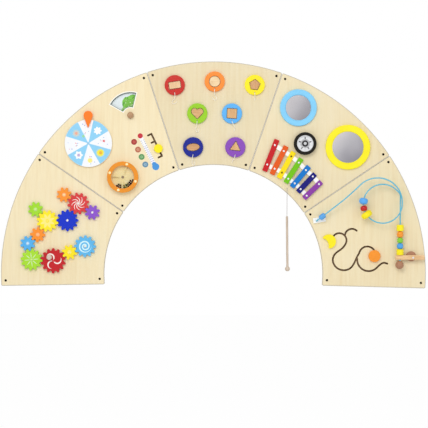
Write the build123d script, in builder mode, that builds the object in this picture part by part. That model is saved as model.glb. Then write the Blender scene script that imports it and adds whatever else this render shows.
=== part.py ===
from build123d import *
from math import acos, asin, atan2, cos, degrees, hypot, pi, radians, sin, tan
import os

# A wooden busy board: five plywood panels that make a half ring on a wall.
# Millimetres. +X is right, +Z is up, and the wall is the plane Y = 0, so the play side faces -Y.
# The origin is the middle of the centre panel's back. Places on the board are given as
# (x, z) from the centre of the arch, and heights are measured out from the wall.

# ---- Driving dimensions ------------------------------------------------------------------

ARCH_OUTER_R = 975.0
ARCH_INNER_R = 501.0
PANEL_PITCH = 37.2  # degrees of arch that each panel fills
PANEL_T = 18.0
PANEL_CORNER_R = 7.0
PANEL_CHAMFER = 2.0
PANEL_GAP = 1.0
SCREW_HOLE_R = 3.5
SCREW_SINK_R = 5.8
SCREW_SINK_DEPTH = 5.5  # for the screw's round head
SCREW_INSET = 21.3  # from the panel's edges to each wall screw
FOOT_DROPS = (60.7, 50.9)  # how far the end panels reach below the arch's centre, outside and inside
FOOT_SCREW_INSET = 25.0  # from the end panels' feet to their lowest screws

GEAR_MODULE = 7.65
GEAR_T = 11.0
GEAR_BACK = 19.5
GEAR_PRESSURE_ANGLE = 30.0
PIN_R = 4.0
RUNNING_CLEARANCE = 0.06
PIN_DEPTH = 13.0  # how far a pin is pressed into its panel
PIN_HEAD_R = 5.2
PIN_HEAD_T = 3.0

SKIN_T = 9.0  # plywood left in front of the channels and the season pocket
BACK_PLATE_T = 3.0
STEM_R = 3.8
FOOT_R = 9.0
FOOT_T = 4.0
GROOVE_W = 8.6
CHANNEL_W = 20.0

WIRE_R = 3.0
BEAD_BORE_R = 3.5

RING_R = 46.4
RING_T = 12.0
BLOCK_T = 16.0
BLOCK_GAP = 2.6  # between each block and the edge of its hole
CORD_R = 1.3

BAR_W = 24.5
BAR_T = 4.0
RAIL_T = 8.0
BAR_SCREW_R = 2.5

ARCH_CENTRE_Z = -(ARCH_OUTER_R + ARCH_INNER_R) / 2
TOYS_X, TOYS_Z = 2.1, -5.0  # from the arch's centre to the point that the toys are set out from

os.makedirs("parts", exist_ok=True)


def spot(x, z, height, turn=0.0):
    """The plane at (x, z) from the toys' point, this far out from the wall, facing the child."""
    across = (cos(radians(turn)), 0, sin(radians(turn)))
    return Plane(origin=point(x, z, height), x_dir=across, z_dir=(0, -1, 0))


def point(x, z, height):
    """The same place as a point in the part's own frame."""
    return Vector(TOYS_X + x, -height, ARCH_CENTRE_Z + TOYS_Z + z)


def on_circle(centre, radius, angle):
    return (
        centre[0] + radius * cos(radians(angle)),
        centre[1] + radius * sin(radians(angle)),
    )


def keep(piece, name):
    """Labels a finished piece and writes its STEP file."""
    piece.label = name
    export_step(piece, f"parts/{name}.step")


def group(solids, name):
    keep(Compound(children=solids), name)


# ---- Places on the board -----------------------------------------------------------------

CRANK_GEAR = (-736.6, 61.2)
CRANK_KNOB = (-753.7, 77.6)
WEATHER_WHEEL = (-578.8, 600.5)
WEATHER_WHEEL_R = 109.0
SEASON_CENTRE = (-386.8, 730.7)
SLIDER_TOP = (-290.4, 645.9)
SLIDER_BOTTOM = (-241.5, 545.2)
DRUM_CENTRE = (-420.0, 446.4)
BLUE_MIRROR = (383.2, 769.8)
YELLOW_MIRROR = (611.5, 589.9)
ROAD_WHEEL = (414.5, 605.2)
MALLET_HOLE = (333.6, 399.1)
WIRE_BLOCK = (482.7, 255.9)
WIRE_START = (468.5, 250.7)
LOOP_CENTRE = (769.1, 331.5)
LOOP_R = 88.6
STACK_X = 851.5
BRACKET_Z = 86.5
MOON_ARC = (575.2, 162.5)
SUN_ARC = (703.9, 97.8)

# ---- Panels ------------------------------------------------------------------------------


def side_angle(radius):
    """Half the panel's angle at this radius, less half the gap to the next panel."""
    return PANEL_PITCH / 2 - degrees(asin(PANEL_GAP / 2 / radius))


def polar(radius, angle):
    """A point of a panel's own drawing, whose +Y is its middle radius."""
    return (radius * sin(radians(angle)), radius * cos(radians(angle)))


def foot_angle(radius, index, drop):
    """The angle in an end panel's own drawing of a point this far below the arch's centre."""
    return 90 + degrees(asin(drop / radius)) - PANEL_PITCH * abs(index)


def screw_places(index):
    """The four wall screws, the same distance in from every edge but the end panels' feet."""
    places = []
    for r, drop in ((ARCH_OUTER_R - SCREW_INSET, FOOT_DROPS[0]), (ARCH_INNER_R + SCREW_INSET, FOOT_DROPS[1])):
        for side in (-1, 1):
            angle = PANEL_PITCH / 2 - degrees(asin(SCREW_INSET / r))
            if side * index == 2:
                angle = foot_angle(r, index, drop - FOOT_SCREW_INSET)
            places.append(polar(r, side * angle))
    return places


def panel_blank(index):
    """A bare panel: an arch sector with round corners, a bevelled face and its screw holes.

    The outer sides of the two end panels are their feet, which are cut nearly level.
    """
    own_plane = spot(-TOYS_X, -TOYS_Z, 0, -PANEL_PITCH * index)
    corners = []
    for radius, drop in zip((ARCH_OUTER_R, ARCH_INNER_R), FOOT_DROPS):
        for side in (-1, 1):
            angle = foot_angle(radius, index, drop) if side * index == 2 else side_angle(radius)
            corners.append(polar(radius, side * angle))
    outer_left, outer_right, inner_left, inner_right = corners
    with BuildPart() as blank:
        with BuildSketch(own_plane):
            with BuildLine():
                ThreePointArc(outer_left, polar(ARCH_OUTER_R, 0), outer_right)
                Line(outer_right, inner_right)
                ThreePointArc(inner_right, polar(ARCH_INNER_R, 0), inner_left)
                Line(inner_left, outer_left)
            face = make_face()
            fillet(face.vertices(), PANEL_CORNER_R)
        extrude(amount=PANEL_T)
        chamfer(blank.faces().sort_by(Axis.Y)[0].edges(), PANEL_CHAMFER)
        with BuildSketch(own_plane):
            with Locations(*screw_places(index)):
                Circle(SCREW_HOLE_R)
        extrude(amount=PANEL_T, mode=Mode.SUBTRACT)
        with BuildSketch(own_plane.offset(PANEL_T - SCREW_SINK_DEPTH)):
            with Locations(*screw_places(index)):
                Circle(SCREW_SINK_R)
        extrude(amount=SCREW_SINK_DEPTH, mode=Mode.SUBTRACT)
    return blank.part


def pin_hole(place, radius=PIN_R, depth=PIN_DEPTH):
    """Cuts a blind hole from the face of the open panel."""
    with BuildSketch(spot(*place, PANEL_T - depth)) as hole:
        Circle(radius)
    extrude(hole.sketch, amount=depth, mode=Mode.SUBTRACT)


# ---- Gear train --------------------------------------------------------------------------

# Each gear meshes with one placed before it: name, teeth, driver, direction from the driver.
GEAR_TRAIN = [
    ("gear_crank_red", 14, None, 0.0),
    ("gear_lime_large", 12, "gear_crank_red", 177.4),
    ("gear_sky_small", 8, "gear_lime_large", 103.5),
    ("gear_orange_lower", 8, "gear_sky_small", 41.6),
    ("gear_yellow_large", 12, "gear_orange_lower", 54.9),
    ("gear_lime_small", 8, "gear_yellow_large", 136.1),
    ("gear_blue_large", 12, "gear_yellow_large", 2.1),
    ("gear_red_large", 12, "gear_blue_large", 57.7),
    ("gear_orange_upper", 8, "gear_red_large", 148.7),
    ("gear_purple_small", 8, "gear_red_large", -32.0),
    ("gear_yellow_small", 8, "gear_crank_red", 28.2),
    ("gear_sky_large", 12, "gear_yellow_small", 21.1),
]
ADDENDUM = 0.6 * GEAR_MODULE
DEDENDUM = 0.85 * GEAR_MODULE
TOOTH_SHARE = 0.475  # tooth width over pitch, which leaves the play of a toy gear
TIP_ROUNDING = 2.1


def train_places():
    """Works each gear's centre and its turn out from its driver, so that the teeth interleave."""
    places = {}
    for name, teeth, driver, direction in GEAR_TRAIN:
        if driver is None:
            places[name] = (CRANK_GEAR, 90.0, teeth)
            continue
        centre, phase, driver_teeth = places[driver]
        reach = GEAR_MODULE * (teeth + driver_teeth) / 2
        driver_share = (direction - phase) * driver_teeth / 360
        own_phase = direction + 180 - (0.5 - driver_share) * 360 / teeth
        places[name] = (on_circle(centre, reach, direction), own_phase, teeth)
    return places


def tooth_flank(teeth):
    """Points up one flank of a tooth that points along +X: an involute above its base circle."""
    pitch_r = GEAR_MODULE * teeth / 2
    root_r, tip_r = pitch_r - DEDENDUM, pitch_r + ADDENDUM
    base_r = pitch_r * cos(radians(GEAR_PRESSURE_ANGLE))

    def involute(radius):
        angle = acos(base_r / radius)
        return tan(angle) - angle

    half_at_pitch = TOOTH_SHARE * pi / teeth
    start_r = max(base_r, root_r) + 0.05
    flank = []
    for step in range(5):
        radius = start_r + (tip_r - start_r) * step / 4
        half = half_at_pitch + involute(pitch_r) - involute(radius)
        flank.append((radius * cos(half), radius * sin(half)))
    foot_half = atan2(flank[0][1], flank[0][0])
    sunk = root_r - 1.0
    return [(sunk * cos(foot_half), sunk * sin(foot_half))] + flank


def gear(name, centre, turn, teeth):
    """A painted plywood gear with rounded teeth and a running bore."""
    flank = tooth_flank(teeth)
    mirrored = [(x, -y) for x, y in flank]
    tip_r = GEAR_MODULE * teeth / 2 + ADDENDUM
    with BuildPart() as wheel:
        with BuildSketch(spot(*centre, GEAR_BACK, turn)):
            Circle(GEAR_MODULE * teeth / 2 - DEDENDUM)
            with BuildSketch(mode=Mode.PRIVATE) as tooth:
                with BuildLine():
                    Line(flank[0], flank[1])
                    Spline(*flank[1:])
                    ThreePointArc(flank[-1], (tip_r, 0), mirrored[-1])
                    Spline(*reversed(mirrored[1:]))
                    Line(mirrored[1], mirrored[0])
                    Line(mirrored[0], flank[0])
                make_face()
                tips = tooth.vertices().filter_by(lambda v: hypot(v.X, v.Y) > tip_r - 0.1)
                fillet(tips, TIP_ROUNDING)
            with PolarLocations(0, teeth):
                add(tooth.sketch)
            Circle(PIN_R + RUNNING_CLEARANCE, mode=Mode.SUBTRACT)
        extrude(amount=GEAR_T)
    keep(wheel.part, name)


GEARS = train_places()
for gear_name, (gear_centre, gear_turn, gear_teeth) in GEARS.items():
    gear(gear_name, gear_centre, gear_turn, gear_teeth)

# The crank knob is a turned peg, glued on the face of the crank gear.
KNOB_R = 12.2
KNOB_H = 24.0
with BuildPart() as crank_knob:
    with BuildSketch(spot(*CRANK_KNOB, GEAR_BACK + GEAR_T)):
        Circle(KNOB_R)
    extrude(amount=KNOB_H)
    fillet(crank_knob.faces().sort_by(Axis.Y)[0].edges(), 5.0)
keep(crank_knob.part, "crank_knob")

with BuildPart() as panel_gears:
    add(panel_blank(-2))
    for gear_centre, _, _ in GEARS.values():
        pin_hole(gear_centre)
keep(panel_gears.part, "panel_gears")


# ---- Pins: one for each gear, the weather wheel, the drum and the road wheel -------------


def headed_pin(place, shaft_r, head_r, head_height, head_t=PIN_HEAD_T, depth=PIN_DEPTH):
    """A pin pressed into the panel, whose domed head keeps its wheel on."""
    with BuildPart() as pin:
        with BuildSketch(spot(*place, PANEL_T - depth)):
            Circle(shaft_r)
        extrude(amount=head_height - (PANEL_T - depth))
        with BuildSketch(spot(*place, head_height)):
            Circle(head_r)
        extrude(amount=head_t)
        fillet(pin.faces().sort_by(Axis.Y)[0].edges(), 1.0)
    return pin.part


HEAD_CLEARANCE = 0.6
DISC_BACK = 20.0
WEATHER_T = 8.0
DRUM_BACK = 20.0
DRUM_FLOOR_T = 6.0
DRUM_PIN_HEAD_R = 6.0
ROAD_PIN_R = 5.0
ROAD_WHEEL_BACK = 21.0
ROAD_WHEEL_W = 26.0
ROAD_PIN_HEAD_R = 7.0

gear_face = GEAR_BACK + GEAR_T
pins = [headed_pin(place, PIN_R, PIN_HEAD_R, gear_face + HEAD_CLEARANCE) for place, _, _ in GEARS.values()]
pins.append(headed_pin(WEATHER_WHEEL, PIN_R, PIN_HEAD_R, DISC_BACK + WEATHER_T + HEAD_CLEARANCE))
pins.append(headed_pin(DRUM_CENTRE, PIN_R, DRUM_PIN_HEAD_R, DRUM_BACK + DRUM_FLOOR_T + HEAD_CLEARANCE))
pins.append(
    headed_pin(ROAD_WHEEL, ROAD_PIN_R, ROAD_PIN_HEAD_R, ROAD_WHEEL_BACK + ROAD_WHEEL_W - 4.0 + HEAD_CLEARANCE)
)
group(pins, "pivot_pins")


# ---- Weather panel -----------------------------------------------------------------------

with BuildPart() as weather_wheel:
    with BuildSketch(spot(*WEATHER_WHEEL, DISC_BACK)):
        Circle(WEATHER_WHEEL_R)
        Circle(PIN_R + RUNNING_CLEARANCE, mode=Mode.SUBTRACT)
    extrude(amount=WEATHER_T)
    rim = weather_wheel.edges().filter_by(GeomType.CIRCLE).filter_by(lambda e: e.radius > PIN_R + 1)
    fillet(rim, 1.5)
keep(weather_wheel.part, "weather_wheel")

# The pointer is a drop that stands on a round foot above the wheel and points down over its rim.
POINTER_TOP = (-580.0, 728.0)
POINTER_R = 21.0
POINTER_LENGTH = 53.0
POINTER_FOOT_R = 13.0
POINTER_BACK = DISC_BACK + WEATHER_T + 2.0
with BuildPart() as pointer:
    with BuildSketch(spot(*POINTER_TOP, PANEL_T)):
        Circle(POINTER_FOOT_R)
    extrude(amount=POINTER_BACK - PANEL_T)
    with BuildSketch(spot(*POINTER_TOP, POINTER_BACK)):
        Circle(POINTER_R)
        with Locations((0, -POINTER_LENGTH)):
            Circle(2.0)
        make_hull()
    extrude(amount=7.0)
    fillet(pointer.faces().sort_by(Axis.Y)[0].edges(), 1.5)
keep(pointer.part, "weather_pointer")

# The season disc turns in a pocket behind the panel and shows through a window.
SEASON_R = 107.0
SEASON_POCKET_R = 109.0
SEASON_FLOOR = 6.0
SEASON_DISC_T = 4.0
SPINDLE_R = 6.0
WINDOW_INNER_R = 40.0
WINDOW_OUTER_R = 104.0
WINDOW_START = 77.0
WINDOW_END = 151.0
PEG_R = 14.7
PEG_BACK = 20.0
PEG_H = 18.0

with BuildPart() as season_disc:
    with BuildSketch(spot(*SEASON_CENTRE, SEASON_FLOOR - 1.0)):
        Circle(SEASON_R)
    extrude(amount=SEASON_DISC_T - 1.0)
    with BuildSketch(spot(*SEASON_CENTRE, SEASON_FLOOR)):
        Circle(SPINDLE_R)
    extrude(amount=PEG_BACK + PEG_H / 2 - SEASON_FLOOR)
keep(season_disc.part, "season_disc")

with BuildPart() as season_knob:
    with BuildSketch(spot(*SEASON_CENTRE, PEG_BACK)):
        Circle(PEG_R)
    extrude(amount=PEG_H)
    fillet(season_knob.faces().sort_by(Axis.Y)[0].edges(), 5.0)
    with BuildSketch(spot(*SEASON_CENTRE, PEG_BACK)):
        Circle(SPINDLE_R)
    extrude(amount=PEG_H / 2, mode=Mode.SUBTRACT)
keep(season_knob.part, "season_knob")


def sector(inner_r, outer_r, start, end):
    """Draws a ring sector about the open sketch's origin."""
    middle = (start + end) / 2
    with BuildLine(mode=Mode.PRIVATE) as outline:
        ThreePointArc(*(on_circle((0, 0), outer_r, a) for a in (start, middle, end)))
        Line(on_circle((0, 0), outer_r, end), on_circle((0, 0), inner_r, end))
        ThreePointArc(*(on_circle((0, 0), inner_r, a) for a in (end, middle, start)))
        Line(on_circle((0, 0), inner_r, start), on_circle((0, 0), outer_r, start))
    make_face(outline.edges())


def track(points, radii, width):
    """Draws a groove of this width with round ends along a path with round corners."""
    with BuildLine(mode=Mode.PRIVATE) as path:
        if radii:
            FilletPolyline(*points, radius=radii)
        else:
            Polyline(*points)
    trace(path.line, width)
    with Locations(points[0], points[-1]):
        Circle(width / 2)


# The slider runs in a comb of five strokes: a main one, and four short ones across it.
SLIDER_AXIS = Vector(SLIDER_BOTTOM[0] - SLIDER_TOP[0], SLIDER_BOTTOM[1] - SLIDER_TOP[1])
COMB_LENGTH = SLIDER_AXIS.length
COMB_TURN = degrees(atan2(SLIDER_AXIS.Y, SLIDER_AXIS.X))
NOTCH_LENGTH = 17.0
NOTCH_PLACES = [0.0, 37.3, 74.6, COMB_LENGTH]
SLIDER_REST = 74.6
SLIDER_R = 20.0


def comb(width):
    """Draws the comb, whose main stroke starts at the sketch's origin and runs along +X."""
    track([(0, 0), (COMB_LENGTH, 0)], None, width)
    for along in NOTCH_PLACES:
        track([(along, 0), (along, -NOTCH_LENGTH)], None, width)


with BuildPart() as panel_weather:
    add(panel_blank(-1))
    pin_hole(WEATHER_WHEEL)
    pin_hole(DRUM_CENTRE)
    with BuildSketch(spot(*SEASON_CENTRE, 0)):
        Circle(SEASON_POCKET_R + 6.0)
    extrude(amount=BACK_PLATE_T, mode=Mode.SUBTRACT)
    with BuildSketch(spot(*SEASON_CENTRE, 0)):
        Circle(SEASON_POCKET_R)
    extrude(amount=PANEL_T - SKIN_T, mode=Mode.SUBTRACT)
    with BuildSketch(spot(*SEASON_CENTRE, 0)):
        sector(WINDOW_INNER_R, WINDOW_OUTER_R, WINDOW_START, WINDOW_END)
        Circle(SPINDLE_R + RUNNING_CLEARANCE)
    extrude(amount=PANEL_T, mode=Mode.SUBTRACT)
    with BuildSketch(spot(*SLIDER_TOP, 0, COMB_TURN)):
        with Locations((COMB_LENGTH / 2, -NOTCH_LENGTH / 2)):
            Rectangle(COMB_LENGTH + CHANNEL_W + 6, NOTCH_LENGTH + CHANNEL_W + 6)
    extrude(amount=BACK_PLATE_T, mode=Mode.SUBTRACT)
    with BuildSketch(spot(*SLIDER_TOP, 0, COMB_TURN)):
        with Locations((COMB_LENGTH / 2, -NOTCH_LENGTH / 2)):
            Rectangle(COMB_LENGTH + CHANNEL_W, NOTCH_LENGTH + CHANNEL_W)
    extrude(amount=PANEL_T - SKIN_T, mode=Mode.SUBTRACT)
    with BuildSketch(spot(*SLIDER_TOP, 0, COMB_TURN)):
        comb(GROOVE_W)
    extrude(amount=PANEL_T, mode=Mode.SUBTRACT)
keep(panel_weather.part, "panel_weather")


def captured_knob(place, outline, thickness, offset=(0, 0)):
    """A flat knob on a stem, with a foot that runs in the channel behind the panel."""
    with BuildPart() as knob:
        with BuildSketch(spot(*place, BACK_PLATE_T + 1.0)):
            Circle(FOOT_R)
        extrude(amount=FOOT_T)
        with BuildSketch(spot(*place, BACK_PLATE_T + 1.0)):
            Circle(STEM_R)
        extrude(amount=PANEL_T - BACK_PLATE_T + 0.5)
        with BuildSketch(spot(place[0] + offset[0], place[1] + offset[1], PANEL_T + 1.0)):
            outline()
        extrude(amount=thickness)
        fillet(knob.faces().sort_by(Axis.Y)[0].edges(), 2.0)
    return knob.part


def slider_outline():
    Circle(SLIDER_R)


slider_place = on_circle(SLIDER_TOP, SLIDER_REST, COMB_TURN)
keep(captured_knob(slider_place, slider_outline, 14.0), "slider_knob")

# The drum turns on its pin: a floor with baffles, a painted ring, a clear window and loose chips.
DRUM_R = 71.6
DRUM_INNER_R = 52.3
DRUM_RING_T = 22.0
WINDOW_SEAT_R = 55.0
DRUM_WINDOW_T = 3.0
DRUM_LIP_T = 3.0
PLUG_R = 6.0
PLUG_CIRCLE_R = 62.0
PLUG_ANGLES = (72, 162, 252, 342)
BAFFLE_ANGLES = (70, 175, 270)
drum_floor = DRUM_BACK + DRUM_FLOOR_T
drum_front = drum_floor + DRUM_RING_T
window_back = drum_front - DRUM_LIP_T - DRUM_WINDOW_T

with BuildPart() as drum_base:
    with BuildSketch(spot(*DRUM_CENTRE, DRUM_BACK)):
        Circle(DRUM_R)
        Circle(PIN_R + RUNNING_CLEARANCE, mode=Mode.SUBTRACT)
    extrude(amount=DRUM_FLOOR_T)
    for baffle_angle in BAFFLE_ANGLES:
        with BuildSketch(spot(*DRUM_CENTRE, drum_floor, baffle_angle)):
            with Locations((34.0, 0)):
                Rectangle(34.0, 2.4)
        extrude(amount=window_back - drum_floor - 0.5)
drum_solids = [drum_base.part]
for plug_angle in PLUG_ANGLES:
    with BuildPart() as plug:
        with BuildSketch(spot(*on_circle(DRUM_CENTRE, PLUG_CIRCLE_R, plug_angle), drum_front - 8.0)):
            Circle(PLUG_R)
        extrude(amount=9.0)
        fillet(plug.faces().sort_by(Axis.Y)[0].edges(), 0.8)
    drum_solids.append(plug.part)
group(drum_solids, "drum_base")

with BuildPart() as drum_ring:
    with BuildSketch(spot(*DRUM_CENTRE, drum_floor)):
        Circle(DRUM_R)
        Circle(WINDOW_SEAT_R, mode=Mode.SUBTRACT)
    extrude(amount=DRUM_RING_T - DRUM_LIP_T)
    with BuildSketch(spot(*DRUM_CENTRE, drum_front - DRUM_LIP_T)):
        Circle(DRUM_R)
        Circle(DRUM_INNER_R, mode=Mode.SUBTRACT)
    extrude(amount=DRUM_LIP_T)
    fillet(drum_ring.edges().filter_by(GeomType.CIRCLE).sort_by(Axis.Y)[:2], 2.0)
    with BuildSketch(spot(*DRUM_CENTRE, drum_front - 8.0)):
        with PolarLocations(PLUG_CIRCLE_R, len(PLUG_ANGLES), start_angle=PLUG_ANGLES[0]):
            Circle(PLUG_R)
    extrude(amount=8.0, mode=Mode.SUBTRACT)
keep(drum_ring.part, "drum_ring")

with BuildPart() as drum_window:
    with BuildSketch(spot(*DRUM_CENTRE, window_back)):
        Circle(WINDOW_SEAT_R)
    extrude(amount=DRUM_WINDOW_T)
keep(drum_window.part, "drum_window")

CHIP_R = 4.2
CHIP_ROWS = ((48.0, 236, 346), (38.5, 241, 343))  # radius and the angles that the settled chips fill
chips = []
for row_r, first, last in CHIP_ROWS:
    chip_step = degrees(2 * asin((CHIP_R + 0.3) / row_r))
    for number in range(int((last - first) / chip_step) + 1):
        chip_angle = first + number * chip_step
        if abs(row_r * sin(radians(chip_angle - 270))) < CHIP_R + 1.6:
            continue
        with BuildPart() as chip:
            chip_x, chip_z = on_circle(DRUM_CENTRE, row_r, chip_angle)
            with Locations(point(chip_x, chip_z, drum_floor + CHIP_R + 0.3)):
                Sphere(CHIP_R)
        chips.append(chip.part)
group(chips, "drum_granules")


# ---- Shape panel -------------------------------------------------------------------------

CORD_HOLE_R = 2.2
CORD_HOLE_DROP = 33.5  # below the ring's centre


def draw_rectangle(grow):
    RectangleRounded(51.6 + 2 * grow, 30.3 + 2 * grow, 2.0 + grow / 2)


def draw_circle(grow):
    Circle(23.9 + grow)


def draw_pentagon(grow):
    outline = RegularPolygon(24.8 + 1.2 * grow, 5, rotation=90)
    fillet(outline.vertices(), 2.5)


def draw_heart(grow):
    """Two lobes and a point, grown outwards for the hole."""
    lobe_r = 14.0 + grow
    for side in (-1, 1):
        with Locations((side * 12.6, 8.5)):
            Circle(lobe_r)
    with Locations((0, -21.0)):
        Circle(2.5 + grow)
    for side in (-1, 1):
        with BuildSketch(mode=Mode.PRIVATE) as half:
            with Locations((side * 12.6, 8.5)):
                Circle(lobe_r)
            with Locations((0, -21.0)):
                Circle(2.5 + grow)
            make_hull()
        add(half.sketch)


def draw_square(grow):
    RectangleRounded(42.7 + 2 * grow, 42.7 + 2 * grow, 2.0 + grow / 2)


def draw_ellipse(grow):
    Ellipse(28.9 + grow, 15.9 + grow)


def draw_triangle(grow):
    outline = RegularPolygon(26.8 + 1.9 * grow, 3, rotation=90)
    fillet(outline.vertices(), 2.5)


# name, ring centre, tilt and outline of each shape; the tilts follow the arch
SHAPES = [
    ("rectangle_block", (-184.3, 869.6), 9.0, draw_rectangle),
    ("circle_block", (-1.3, 887.3), 0.0, draw_circle),
    ("pentagon_block", (182.4, 872.8), -6.0, draw_pentagon),
    ("heart_block", (-80.2, 740.8), 0.0, draw_heart),
    ("square_block", (78.6, 741.3), -3.0, draw_square),
    ("ellipse_block", (-98.6, 585.6), 5.0, draw_ellipse),
    ("triangle_block", (95.1, 586.7), -6.0, draw_triangle),
]

rings = []
cord_holes = []
for shape_name, ring_centre, tilt, draw in SHAPES:
    cord_holes.append((ring_centre[0], ring_centre[1] - CORD_HOLE_DROP))
    with BuildPart() as ring:
        with BuildSketch(spot(*ring_centre, PANEL_T)):
            Circle(RING_R)
        extrude(amount=RING_T)
        fillet(ring.faces().sort_by(Axis.Y)[0].edges(), 3.0)
        with BuildSketch(spot(*ring_centre, PANEL_T, tilt)):
            draw(BLOCK_GAP)
        extrude(amount=RING_T, mode=Mode.SUBTRACT)
        with BuildSketch(spot(*cord_holes[-1], PANEL_T)):
            Circle(CORD_HOLE_R)
        extrude(amount=RING_T, mode=Mode.SUBTRACT)
    rings.append(ring.part)
    with BuildPart() as block:
        with BuildSketch(spot(*ring_centre, PANEL_T + 0.4, tilt)):
            draw(0)
        extrude(amount=BLOCK_T)
        fillet(block.faces().sort_by(Axis.Y)[0].edges(), 1.6)
    keep(block.part, shape_name)
group(rings, "shape_rings")

with BuildPart() as panel_shapes:
    add(panel_blank(0))
    for cord_hole in cord_holes:
        pin_hole(cord_hole, CORD_HOLE_R, 8.0)
keep(panel_shapes.part, "panel_shapes")


# ---- Cords -------------------------------------------------------------------------------


def rounded_tube(route, radius, name):
    """A round solid along straight runs, joined by arcs as large as the runs allow."""
    points = [point(*place) for place in route]
    radii = []
    for before, corner, after in zip(points, points[1:], points[2:]):
        turn = radians((corner - before).get_angle(after - corner))
        shorter = min((corner - before).length, (after - corner).length)
        radii.append(0.45 * shorter / tan(turn / 2))
    with BuildPart() as tube:
        with BuildLine():
            path = FilletPolyline(*points, radius=radii)
        with BuildSketch(Plane(origin=path @ 0, z_dir=path % 0)):
            Circle(radius)
        sweep()
    ratio = tube.part.volume / (pi * radius**2 * path.length)
    print(name, "radii", [round(r, 1) for r in radii], "length", round(path.length, 1), "ratio", round(ratio, 4))
    return tube.part


RING_FACE = PANEL_T + RING_T
# Each route starts in its ring's hole: (x, z) from the hole, and height out from the wall.
CORD_ROUTES = [
    [(0, 0, 25.0), (0, 0, 34.0), (0.5, -7.0, 37.0), (1.5, -18.0, 33.0), (-1.0, -28.0, 24.0), (-8.5, -37.5, 21.5),
     (-14.0, -46.0, 21.0), (-6.0, -52.5, 20.6), (5.0, -49.0, 20.6), (11.0, -40.0, 21.0)],
    [(0, 0, 25.0), (0, 0, 34.0), (-0.6, -7.0, 37.0), (-1.2, -18.0, 33.0), (1.2, -27.5, 24.0), (7.0, -36.0, 21.5),
     (10.5, -45.5, 21.0), (3.0, -52.0, 20.6), (-6.5, -47.5, 20.6), (-10.0, -38.5, 21.0)],
    [(0, 0, 25.0), (0, 0, 34.0), (0.5, -7.0, 36.5), (0.5, -17.5, 32.0), (1.6, -27.0, 24.0), (0.5, -36.5, 21.5)],
    [(0, 0, 25.0), (0, 0, 34.0), (-0.8, -7.0, 37.0), (-2.6, -18.0, 33.5), (-5.0, -29.0, 25.0), (-7.0, -38.0, 21.8),
     (-6.0, -46.5, 21.0), (-0.5, -52.0, 21.0), (6.0, -50.5, 21.0), (8.0, -43.0, 21.2), (5.0, -35.0, 21.6)],
    [(0, 0, 25.0), (0, 0, 34.0), (1.5, -7.0, 36.5), (5.5, -15.5, 33.0), (11.5, -23.5, 25.5), (14.5, -31.5, 22.0),
     (12.5, -41.0, 21.0), (9.0, -50.5, 21.0)],
    [(0, 0, 25.0), (0, 0, 34.0), (-1.0, -7.0, 37.0), (-3.0, -18.0, 33.5), (-4.0, -29.5, 25.0), (-4.8, -37.5, 22.0),
     (-3.5, -44.5, 21.0), (2.0, -48.5, 21.0), (8.0, -46.0, 21.0), (9.0, -39.0, 21.2), (6.5, -32.0, 21.6)],
    [(0, 0, 25.0), (0, 0, 34.0), (-1.5, -7.0, 36.5), (-4.0, -15.5, 32.5), (-8.5, -23.0, 25.5), (-12.5, -29.5, 22.0),
     (-15.5, -37.0, 21.2)],
]
shape_cords = []
for (shape_name, _, _, _), cord_hole, route in zip(SHAPES, cord_holes, CORD_ROUTES):
    placed = [(cord_hole[0] + x, cord_hole[1] + z, height) for x, z, height in route]
    shape_cords.append(rounded_tube(placed, CORD_R, shape_name))
group(shape_cords, "shape_cords")


# ---- Music panel -------------------------------------------------------------------------

# outer radius, radius of the mirror that shows, and the height of each frame
MIRROR_FRAMES = [(BLUE_MIRROR, 84.5, 57.8), (YELLOW_MIRROR, 102.8, 71.5)]
FRAME_T = 12.0
MIRROR_T = 3.0
MIRROR_LAP = 4.0
frames = []
mirrors = []
for mirror_centre, frame_r, opening_r in MIRROR_FRAMES:
    with BuildPart() as frame:
        with BuildSketch(spot(*mirror_centre, PANEL_T)):
            Circle(frame_r)
            Circle(opening_r, mode=Mode.SUBTRACT)
        extrude(amount=FRAME_T)
        front_edges = frame.faces().sort_by(Axis.Y)[0].edges()
        fillet(front_edges.sort_by(SortBy.RADIUS)[-1], 4.0)
        chamfer(frame.faces().sort_by(Axis.Y)[0].edges().sort_by(SortBy.RADIUS)[0], 3.5)
        with BuildSketch(spot(*mirror_centre, PANEL_T)):
            Circle(opening_r + MIRROR_LAP)
        extrude(amount=MIRROR_T, mode=Mode.SUBTRACT)
    frames.append(frame.part)
    with BuildPart() as mirror_disc:
        with BuildSketch(spot(*mirror_centre, PANEL_T)):
            Circle(opening_r + MIRROR_LAP)
        extrude(amount=MIRROR_T)
    mirrors.append(mirror_disc.part)
group(frames, "mirror_frames")
group(mirrors, "mirrors")

TYRE_R = 51.9
TYRE_INNER_R = 37.6
with BuildPart() as tyre:
    with BuildSketch(spot(*ROAD_WHEEL, ROAD_WHEEL_BACK)):
        Circle(TYRE_R)
        Circle(TYRE_INNER_R, mode=Mode.SUBTRACT)
    extrude(amount=ROAD_WHEEL_W)
    fillet(tyre.edges().filter_by(lambda e: e.geom_type == GeomType.CIRCLE and e.radius > TYRE_R - 1), 6.0)
keep(tyre.part, "wheel_tyre")

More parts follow.
